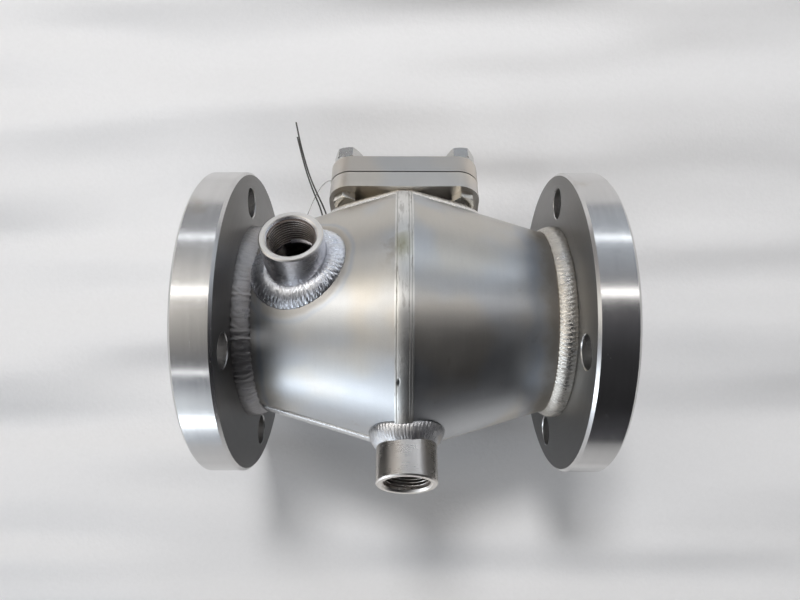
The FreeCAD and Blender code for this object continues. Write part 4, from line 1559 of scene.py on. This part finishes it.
@dataclass
class RoundedOutline:
    """Rectangle with round corners, about the valve's middle."""

    middle: float = MIDDLE
    length: float = 0.09235
    width: float = 0.09035
    corner: float = 0.016

    def perimeter(self) -> float:
        """Its length all round."""
        return 2.0 * (self.length + self.width) - (8.0 - 2.0 * math.pi) * self.corner

    def at(self, turn: float) -> tuple[Vector, Vector]:
        """A point on it and the direction away from its middle.

        Args:
            turn: Share of the way round, from the middle of the outlet side.

        Returns:
            The point and the outward direction, both level.
        """
        half_x = self.length / 2 - self.corner
        half_y = self.width / 2 - self.corner
        arc = math.pi / 2 * self.corner
        runs = (half_y, arc, 2 * half_x, arc, 2 * half_y, arc, 2 * half_x, arc, half_y)
        corners = ((half_x, half_y), (-half_x, half_y), (-half_x, -half_y), (half_x, -half_y))
        starts = ((half_x, 0.0), *corners)
        travel = turn * self.perimeter()
        piece = 0
        while piece < len(runs) - 1 and travel > runs[piece]:
            travel -= runs[piece]
            piece += 1
        side, on_arc = divmod(piece, 2)
        angle = math.pi / 2 * (side % len(corners))
        if on_arc:
            angle += travel / self.corner
            spot = Vector((*corners[side], 0.0))
        else:
            ahead = Vector((-math.sin(angle), math.cos(angle), 0.0))
            spot = Vector((*starts[side], 0.0)) + ahead * travel
        outward = Vector((math.cos(angle), math.sin(angle), 0.0))
        return spot + outward * self.corner + Vector((self.middle, 0.0, 0.0)), outward


@dataclass
class HeatingJacket:
    """Two rolled cones, the band between them, their seam, and the saddle at the neck."""

    shell: JacketShell = field(default_factory=JacketShell)
    saddle: RoundedOutline = field(default_factory=RoundedOutline)
    saddle_leg: float = 0.0054
    saddle_height: float = 0.0047
    bonnet_underside: float = 0.0724
    seam_first: float = 0.0103
    seam_length: float = 0.0735
    seam_half: float = 0.0050
    seam_angle: float = math.radians(186.8)
    seam_taper: float = 0.004
    saddle_sink: float = 0.0015
    seam_sink: float = 0.0010
    saddle_spread: float = 0.012
    saddle_crown: Crown = Crown(0.0017)
    seam_crown: Crown = Crown(0.0014, flatness=6)
    saddle_scales: Scales = Scales(0.0032, 0.00032, bow=0.7, wander=0.4, variety=0.6, seed=21.0)
    seam_scales: Scales = Scales(0.0022, 0.00016, bow=0.5, wander=0.3, variety=0.6, seed=31.0)
    # Painted highlight: the saddle bead's weld metal is lighter than the other beads', for the bright ridge
    # under the bonnet.
    saddle_steel: WeldSteel = WeldSteel("saddle weld bead", (0.95, 0.92, 0.87), roughness=0.24, warmth=0.2)
    seam_steel: WeldSteel = WeldSteel("seam bead", (0.88, 0.88, 0.88), roughness=0.22, warmth=0.1)

    def _saddle_point(self, turn: float, across: float, lift: float) -> Vector:
        """Lays the saddle's weld on the jacket.

        Args:
            turn: Share of the way round.
            across: Place between the weld's toes, from -1 to 1.
            lift: Metres out from its straight face.

        Returns:
            The point.
        """
        fillet = Fillet((0.0, self.saddle_height), (self.saddle_leg, 0.0))
        out, height = fillet.at(across, lift)
        spot, outward = self.saddle.at(turn)
        spot = spot + outward * out
        top = self.shell.height(spot.x, spot.y) + height
        return Vector((spot.x, spot.y, min(top, self.bonnet_underside)))

    def _seam_point(self, turn: float, across: float, lift: float) -> Vector:
        """Lays the seam's weld along the inlet cone.

        Args:
            turn: Share of the way along the seam.
            across: Place between the weld's toes, from -1 to 1.
            lift: Metres above the cone.

        Returns:
            The point.
        """
        travel = self.seam_first + turn * self.seam_length
        cosine, sine = math.cos(self.shell.slope), math.sin(self.shell.slope)
        station = self.shell.flange_back + travel * cosine - lift * sine
        radius = self.shell.radius(self.shell.flange_back + travel * cosine)
        aside = across * self.seam_half
        local = Vector((station, aside, math.sqrt(radius * radius - aside * aside) + lift * cosine))
        return Matrix.Rotation(self.seam_angle, 3, "X") @ local

    def build(self) -> list[bpy.types.Object]:
        """Dresses the sheets and lays the jacket's own welds.

        Returns:
            The dressed nodes and the new pieces.
        """
        sheets = dressed(JacketSteel().material(), "jacket_inlet_cone", "jacket_outlet_cone", "neck_saddle")
        bands = dressed(BandSteel().material(), "jacket_girth_band_front", "jacket_girth_band_rear")
        round_neck = self.saddle.perimeter() + self.saddle_spread
        saddle = Bead("saddle_bead", round_neck, self.saddle_scales, self._saddle_point, self.saddle_crown,
                      self.saddle_sink)
        seam = Bead("seam_bead", self.seam_length, self.seam_scales, self._seam_point, self.seam_crown,
                    self.seam_sink, toe_wave=0.02, taper=self.seam_taper)
        return [
            *sheets,
            *bands,
            saddle.build(self.saddle_steel.material(), "neck_saddle_weld"),
            seam.build(self.seam_steel.material(), "jacket_seam_weld"),
        ]


@dataclass(frozen=True)
class Thread:
    """A screw thread, wound as one ridge along a bar or in a bore."""

    pitch: float
    root: float
    crest: float
    length: float
    steps: int = 48
    root_share: float = 0.46
    crest_share: float = 0.07

    def shape(self, place: Matrix) -> bmesh.types.BMesh:
        """Winds the ridge.

        Args:
            place: Where its start is, with its own Z along the thread.

        Returns:
            The closed ridge.
        """
        shape = bmesh.new()
        start = self.pitch / 2
        half_root, half_crest = self.root_share * self.pitch, self.crest_share * self.pitch
        outline = (
            (self.root, -half_root),
            (self.crest, -half_crest),
            (self.crest, half_crest),
            (self.root, half_root),
        )
        corners = [shape.verts.new((radius, 0.0, start + height)) for radius, height in outline]
        section = shape.faces.new(corners)
        turns = self.length / self.pitch - 1.0
        bmesh.ops.spin(
            shape, geom=[section, *section.edges, *section.verts], axis=(0.0, 0.0, 1.0),
            dvec=(0.0, 0.0, self.pitch / self.steps), angle=2.0 * math.pi * turns,
            steps=round(turns * self.steps), use_duplicate=False,
        )
        bmesh.ops.holes_fill(shape, edges=shape.edges, sides=4)
        bmesh.ops.recalc_face_normals(shape, faces=shape.faces)
        bmesh.ops.transform(shape, matrix=place, verts=shape.verts)
        return shape


@dataclass
class JacketPorts:
    """The heating port and the drain port: threaded couplings, each in a collar of weld."""

    shell: JacketShell = field(default_factory=JacketShell)
    coupling_radius: float = 0.0175
    heating_station: float = 0.060
    heating_drop: float = 0.0035
    heating_mouth: float = 0.08923
    heating_foot: float = 0.0282
    heating_height: float = 0.0046
    heating_squeeze: float = 0.14
    drain_station: float = 0.12235
    drain_mouth: float = 0.1082
    drain_foot: float = 0.0224
    drain_height: float = 0.0080
    thread_pitch: float = 0.001814
    thread_root: float = 0.01325
    thread_crest: float = 0.01212
    thread_depth: float = 0.0196
    countersink: float = 0.0011
    overlap: float = 0.0001
    heating_sink: float = 0.0015
    drain_sink: float = 0.0012
    heating_crown: Crown = Crown(0.0016)
    drain_crown: Crown = Crown(0.0008)
    heating_scales: Scales = Scales(0.0024, 0.00034, bow=0.6, wander=0.4, variety=0.8, seed=41.0)
    drain_scales: Scales = Scales(0.0020, 0.00020, bow=0.5, wander=0.3, variety=0.8, seed=51.0)
    # Painted highlight: the heating collar's weld metal is lightened and tinted blue, for bright bluish
    # ripples.
    heating_steel: WeldSteel = WeldSteel("heating collar bead", (0.86, 0.88, 0.93), roughness=0.22,
                                         warmth=0.30)
    drain_steel: WeldSteel = WeldSteel("drain collar bead", (0.64, 0.64, 0.65), roughness=0.25, warmth=0.35)
    drain_colour: Colour = (0.68, 0.64, 0.60)

    def _heating_point(self, turn: float, across: float, lift: float) -> Vector:
        """Lays the heating port's collar on the inlet cone.

        Args:
            turn: Share of the way round.
            across: Place between the weld's toes, from -1 to 1.
            lift: Metres out from its straight face.

        Returns:
            The point.
        """
        fillet = Fillet((self.coupling_radius - self.overlap, self.heating_height), (self.heating_foot, 0.0))
        radius, height = fillet.at(across, lift)
        angle = 2.0 * math.pi * turn
        radius -= self.heating_squeeze * max(0.0, radius - self.coupling_radius) * math.sin(angle) ** 2
        x = self.heating_station + radius * math.cos(angle)
        z = -self.heating_drop + radius * math.sin(angle)
        return Vector((x, -self.shell.height(x, z) - height, z))

    def _drain_point(self, turn: float, across: float, lift: float) -> Vector:
        """Lays the drain port's collar over the girth.

        Args:
            turn: Share of the way round.
            across: Place between the weld's toes, from -1 to 1.
            lift: Metres out from its straight face.

        Returns:
            The point.
        """
        fillet = Fillet((self.coupling_radius - self.overlap, self.drain_height), (self.drain_foot, 0.0))
        radius, height = fillet.at(across, lift)
        angle = 2.0 * math.pi * turn
        x = self.drain_station + radius * math.cos(angle)
        y = radius * math.sin(angle)
        return Vector((x, y, -self.shell.height(x, y) - height))

    def _thread(self, name: str, mouth: Vector, inward: Vector, axis: Axis) -> bpy.types.Object:
        """Cuts a coupling's thread.

        Args:
            name: The piece's name.
            mouth: The middle of the coupling's mouth.
            inward: The direction into it.
            axis: The coupling's axis.

        Returns:
            The thread.
        """
        turn = inward.to_track_quat("Z", "Y").to_matrix().to_4x4()
        place = Matrix.Translation(mouth + inward * self.countersink) @ turn
        length = self.thread_depth - self.countersink
        thread = Thread(self.thread_pitch, self.thread_root, self.thread_crest, length)
        steel = ThreadSteel(name.replace("_", " "), axis, mouth, self.thread_crest, self.thread_root)
        return finished(name, thread.shape(place), steel.material())

    def build(self) -> list[bpy.types.Object]:
        """Dresses the couplings, cuts their threads and lays their collars.

        Returns:
            The dressed nodes and the new pieces.
        """
        heating = Vector((self.heating_station, -self.heating_mouth, -self.heating_drop))
        drain = Vector((self.drain_station, 0.0, -self.drain_mouth))
        crossways = CouplingSteel("heating coupling", Axis.CROSSWAYS, heating)
        upright = CouplingSteel("drain coupling", Axis.UPRIGHT, drain, colour=self.drain_colour)
        couplings = [
            *dressed(crossways.material(), "heating_port"),
            *dressed(upright.material(), "drain_port"),
        ]
        threads = [
            self._thread("heating_port_thread", heating, Vector((0.0, 1.0, 0.0)), Axis.CROSSWAYS),
            self._thread("drain_port_thread", drain, Vector((0.0, 0.0, 1.0)), Axis.UPRIGHT),
        ]
        wide = 2.0 * math.pi * 0.5 * (self.coupling_radius + self.heating_foot)
        narrow = 2.0 * math.pi * 0.5 * (self.coupling_radius + self.drain_foot)
        heating_bead = Bead("heating_port_bead", wide, self.heating_scales, self._heating_point,
                            self.heating_crown, self.heating_sink, toe_wave=0.05, round_steps=30)
        drain_bead = Bead("drain_port_bead", narrow, self.drain_scales, self._drain_point,
                          self.drain_crown, self.drain_sink, toe_wave=0.05)
        return [
            *couplings,
            *threads,
            heating_bead.build(self.heating_steel.material(), "heating_port_weld"),
            drain_bead.build(self.drain_steel.material(), "drain_port_weld"),
        ]


@dataclass(frozen=True)
class Hexagon:
    """A hexagon head, or a nut with its bore, with the corners turned off at both ends."""

    across_flats: float
    height: float
    bore: float = 0.0
    corner_chamfer: float = 0.0013
    bore_chamfer: float = 0.0005
    chamfer_slope: float = math.tan(math.radians(30.0))
    face_inset: float = 0.0001
    face_lead: float = 0.00005
    edge_round: float = 0.00035
    segments: int = 72
    corner_share: float = 0.999

    def _outline(self, angle: float) -> float:
        """Radius of the hexagon at an angle from one of its corners."""
        return self.across_flats / 2 / math.cos(angle % (math.pi / 3) - math.pi / 6)

    def _flat_radius(self) -> float:
        """Radius at which the turned-off corners start."""
        return self.across_flats / math.sqrt(3.0) - self.corner_chamfer

    def _rings(self) -> list[tuple[float, float, float, int]]:
        """Rings of the shape, from the bottom up and back through the bore.

        Returns:
            For each, its largest radius, how far it is drawn in, its level, and which way
            the turned-off corners move it: 1 up, -1 down or 0.
        """
        rings = [
            (self._flat_radius(), self.face_inset, 0.0, 0),
            (math.inf, 0.0, self.face_lead, 1),
            (math.inf, 0.0, self.height - self.face_lead, -1),
            (self._flat_radius(), self.face_inset, self.height, 0),
        ]
        if self.bore > 0.0:
            wide = self.bore + self.bore_chamfer
            rings += [
                (wide, 0.0, self.height, 0),
                (self.bore, 0.0, self.height - self.bore_chamfer, 0),
                (self.bore, 0.0, self.bore_chamfer, 0),
                (wide, 0.0, 0.0, 0),
            ]
        return rings

    def _ring(self, shape: bmesh.types.BMesh, limit: float, inset: float, level: float,
              way: int) -> list[bmesh.types.BMVert]:
        """Adds one ring.

        Args:
            shape: The shape to add to.
            limit: The ring's largest radius.
            inset: How far it is drawn in.
            level: Its level.
            way: Which way the turned-off corners move it, 1, -1 or 0.

        Returns:
            Its vertices.
        """
        circle = bmesh.ops.create_circle(shape, cap_ends=False, segments=self.segments, radius=1.0)
        for vert in circle["verts"]:
            angle = math.atan2(vert.co.y, vert.co.x) % (2.0 * math.pi)
            outline = self._outline(angle)
            reach = min(limit, outline) - inset
            drop = max(0.0, outline - self._flat_radius()) * self.chamfer_slope
            vert.co = (reach * math.cos(angle), reach * math.sin(angle), level + way * drop)
        return circle["verts"]

    def add(self, shape: bmesh.types.BMesh, place: Matrix) -> None:
        """Adds the hexagon to a shape.

        Args:
            shape: The shape to add to.
            place: Where its underside is, with its own Z upwards.
        """
        loops = []
        added = []
        for numbers in self._rings():
            ring = self._ring(shape, *numbers)
            loops.append(list({edge for vert in ring for edge in vert.link_edges}))
            added += ring
        pairs = list(zip(loops, loops[1:]))
        if self.bore > 0.0:
            pairs.append((loops[-1], loops[0]))
        for first, second in pairs:
            bmesh.ops.bridge_loops(shape, edges=first + second)
        if self.bore == 0.0:
            bmesh.ops.contextual_create(shape, geom=loops[0])
            bmesh.ops.contextual_create(shape, geom=loops[-1])
        corners = [
            edge for edge in {edge for vert in added for edge in vert.link_edges}
            if self._is_corner(edge)
        ]
        faces = {face for vert in added for face in vert.link_faces}
        bmesh.ops.recalc_face_normals(shape, faces=list(faces))
        bmesh.ops.transform(shape, matrix=place, verts=added)
        bmesh.ops.bevel(shape, geom=corners, offset=self.edge_round, segments=3, profile=0.5,
                        affect="EDGES", material=-1)

    def _is_corner(self, edge: bmesh.types.BMEdge) -> bool:
        """Whether an edge is one of the six upright corners.

        Args:
            edge: The edge.

        Returns:
            True for a corner.
        """
        low, high = (vert.co for vert in edge.verts)
        upright = abs(low.z - high.z) > self.height / 2
        corner = self.across_flats / math.sqrt(3.0)
        outside = min(low.xy.length, high.xy.length) > corner * self.corner_share
        return upright and outside


@dataclass
class BonnetJoint:
    """Bonnet flange's cover, gasket and bolting."""

    middle: float = MIDDLE
    spacing: float = 0.03918
    cover_top: float = 0.1018
    flange_underside: float = 0.0725
    washer: float = 0.0019
    nut: Hexagon = Hexagon(0.0175, 0.0093, 0.00481)
    nut_turns: tuple[float, ...] = (-10.0, 23.0, 0.0, 41.0)
    head: Hexagon = Hexagon(0.0143, 0.0061, corner_chamfer=0.0009)
    head_turn: float = 20.0
    bolt_end: float = 0.1160
    bolt_radius: float = 0.00476
    bolt_chamfer: float = 0.0008
    rim_depth: float = 0.0001
    head_overlap: float = 0.001
    thread_pitch: float = 0.0015875
    thread_height: float = 0.0003
    thread_overlap: float = 0.0001
    crease: float = 20.0
    body: CoverSteel = CoverSteel("body casting", top=0.0856, colour=(0.68, 0.65, 0.61),
                                  warm=(0.72, 0.66, 0.58))
    # Painted highlight: the bolts are lighter and creamier than the nuts, for the bright head faces under the
    # flange.
    bolt_steel: FastenerSteel = FastenerSteel("bright bolt", colour=(0.86, 0.82, 0.74))

    def _places(self) -> list[Vector]:
        """The four bolt axes, inlet side first and front before rear.

        Returns:
            A point of each axis.
        """
        return [
            Vector((self.middle + along * self.spacing, across * self.spacing, 0.0))
            for along in (-1.0, 1.0)
            for across in (-1.0, 1.0)
        ]

    def _nuts(self, material: bpy.types.Material) -> bpy.types.Object:
        """Makes the four nuts, each turned as the spanner left it.

        Args:
            material: Their finish.

        Returns:
            The nuts, as one piece.
        """
        shape = bmesh.new()
        for spot, degrees in zip(self._places(), self.nut_turns):
            base = spot + Vector((0.0, 0.0, self.cover_top + self.washer))
            self.nut.add(shape, Matrix.Translation(base) @ Matrix.Rotation(math.radians(degrees), 4, "Z"))
        return finished("bonnet_nut_set", shape, material, ["bonnet_nuts"], self.crease)

    def _bolts(self, material: bpy.types.Material) -> bpy.types.Object:
        """Makes the four bolts with their heads under the flange.

        Args:
            material: Their finish.

        Returns:
            The bolts, as one piece.
        """
        shape = bmesh.new()
        low = self.flange_underside - self.head_overlap
        turn = Matrix.Rotation(math.radians(self.head_turn), 4, "Z")
        for spot in self._places():
            base = spot + Vector((0.0, 0.0, self.flange_underside - self.head.height))
            self.head.add(shape, Matrix.Translation(base) @ turn)
            middle = spot + Vector((0.0, 0.0, (low + self.bolt_end) / 2))
            shank = bmesh.ops.create_cone(
                shape, cap_ends=True, segments=48, radius1=self.bolt_radius, radius2=self.bolt_radius,
                depth=self.bolt_end - low, matrix=Matrix.Translation(middle),
            )["verts"]
            rim = [edge for edge in {edge for vert in shank for edge in vert.link_edges}
                   if all(vert.co.z > self.bolt_end - self.rim_depth for vert in edge.verts)]
            bmesh.ops.bevel(shape, geom=rim, offset=self.bolt_chamfer, segments=2, profile=0.5,
                            affect="EDGES", material=-1)
        return finished("bonnet_bolt_set", shape, material, ["bonnet_bolts"], self.crease)

    def _bolt_threads(self) -> list[bpy.types.Object]:
        """Threads the bolt ends that stand out of the nuts.

        Returns:
            The four threads.
        """
        start = self.cover_top + self.washer + self.nut.height - self.thread_pitch
        root = self.bolt_radius - self.thread_overlap
        crest = self.bolt_radius + self.thread_height
        thread = Thread(self.thread_pitch, root, crest, self.bolt_end - start - self.thread_height)
        made = []
        for name, spot in zip(("inlet_front", "inlet_rear", "outlet_front", "outlet_rear"), self._places()):
            base = spot + Vector((0.0, 0.0, start))
            steel = ThreadSteel(name + " bolt thread", Axis.UPRIGHT, base, crest, self.bolt_radius)
            ridge = thread.shape(Matrix.Translation(base))
            made.append(finished(name + "_bolt_thread", ridge, steel.material()))
        return made

    def build(self) -> list[bpy.types.Object]:
        """Dresses the joint and makes its bolting.

        Returns:
            The dressed nodes and the new pieces.
        """
        cover = dressed(CoverSteel("bonnet cover", self.cover_top).material(), "bonnet_cover")
        body = dressed(self.body.material(), "valve_body")
        gasket = dressed(GraphiteSheet().material(), "bonnet_gasket")
        steel = FastenerSteel().material()
        washers = dressed(steel, "bonnet_washers")
        nuts = self._nuts(steel)
        bolts = self._bolts(self.bolt_steel.material())
        return [*cover, *body, *gasket, *washers, nuts, bolts, *self._bolt_threads()]


@dataclass
class CheckMechanism:
    """Seat ring, disc, hinge arm and bracket inside the body."""

    lapped: TurnedSteel = TurnedSteel("lapped trim", roughness=0.16)
    cast: BlastedSteel = BlastedSteel("cast trim", grain=0.0008, pits=0.6)
    bolting: FastenerSteel = FastenerSteel("trim bolting", roughness=0.26)

    def build(self) -> list[bpy.types.Object]:
        """Dresses the mechanism.

        Returns:
            The dressed nodes.
        """
        return [
            *dressed(self.lapped.material(), "seat_ring", "disc"),
            *dressed(self.cast.material(), "hinge_arm", "hinge_bracket"),
            *dressed(self.bolting.material(), "hinge_pin", "pin_clips", "bracket_screws", "disc_washer",
                     "disc_nut", "disc_lock_pin"),
        ]


@dataclass(frozen=True)
class Strand:
    """A wire that lies along a route of points, in millimetres from the valve's middle."""

    name: str
    node: str
    diameter: float
    length: float
    route: tuple[tuple[float, float, float], ...]
    middle: float = MIDDLE

    def build(self, material: bpy.types.Material) -> bpy.types.Object:
        """Draws the wire as one smooth line.

        Args:
            material: The wire's finish.

        Returns:
            The wire.
        """
        curve = bpy.data.curves.new(self.name, "CURVE")
        curve.dimensions = "3D"
        spline = curve.splines.new("NURBS")
        spline.points.add(len(self.route) - 1)
        for point, (x, y, z) in zip(spline.points, self.route):
            point.co = (self.middle + x * MILLIMETRE, y * MILLIMETRE, z * MILLIMETRE, 1.0)
        spline.order_u = 3
        spline.use_endpoint_u = True
        curve.bevel_depth = self.diameter / 2
        curve.bevel_resolution = 3
        curve.use_fill_caps = True
        curve.resolution_u = 8
        curve.materials.append(material)
        wire = placed(self.name, curve)
        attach(wire, "valve")
        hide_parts(self.node)
        return wire


@dataclass
class TieWires:
    """Annealed wire doubled round a rear bolt, and a thin loose strand over the cover."""

    tie: Strand = Strand("tie_wire_strand", "tie_wire", 0.0011, 0.2807, (
        (-75.2, -50.5, 120.5), (-72.15, -42.0, 110.5), (-68.6, -33.2, 100.8), (-64.15, -24.5, 91.5),
        (-59.3, -17.0, 83.6), (-56.9, -1.0, 76.2), (-55.2, 16.0, 71.5), (-52.0, 33.0, 70.2),
        (-50.3, 46.0, 69.0), (-39.8, 52.1, 68.6), (-29.3, 46.0, 69.2), (-29.3, 33.8, 71.6),
        (-39.8, 27.5, 71.2), (-51.2, 24.3, 71.1), (-53.6, 11.5, 73.4), (-53.9, -2.5, 77.8),
        (-56.3, -15.2, 83.4), (-62.6, -24.6, 92.6), (-67.65, -33.0, 102.0), (-71.2, -41.7, 111.6),
        (-73.75, -48.2, 119.2), (-76.2, -56.2, 129.3),
    ))
    loose: Strand = Strand("loose_wire_strand", "loose_strand", 0.0006, 0.0540, (
        (-71.0, -12.0, 75.8), (-68.6, -14.9, 80.8), (-66.0, -18.2, 87.4), (-61.7, -22.4, 96.1),
        (-58.5, -24.1, 100.4), (-54.2, -25.2, 103.9), (-48.8, -24.2, 103.9), (-43.2, -22.0, 102.5),
        (-37.4, -18.5, 102.15),
    ))

    dull: WireSteel = WireSteel("annealed wire", (0.05, 0.05, 0.05), (0.22, 0.21, 0.20), 0.42)
    bright: WireSteel = WireSteel("drawn wire", (0.45, 0.44, 0.43), (0.70, 0.69, 0.68), 0.22)

    def build(self) -> list[bpy.types.Object]:
        """Draws both wires."""
        return [self.tie.build(self.dull.material()), self.loose.build(self.bright.material())]


def main() -> None:
    """Builds the studio and the valve's looks, and reports each piece."""
    logging.basicConfig(level=logging.INFO, format="%(message)s")
    bpy.context.scene.view_settings.view_transform = "Standard"
    for assembly in (Studio, TieWires, FlangeEnds, HeatingJacket, JacketPorts, BonnetJoint, CheckMechanism):
        for piece in assembly().build():
            LOG.info("%s: %s", assembly.__name__, piece.name)


if __name__ == "__main__":
    main()
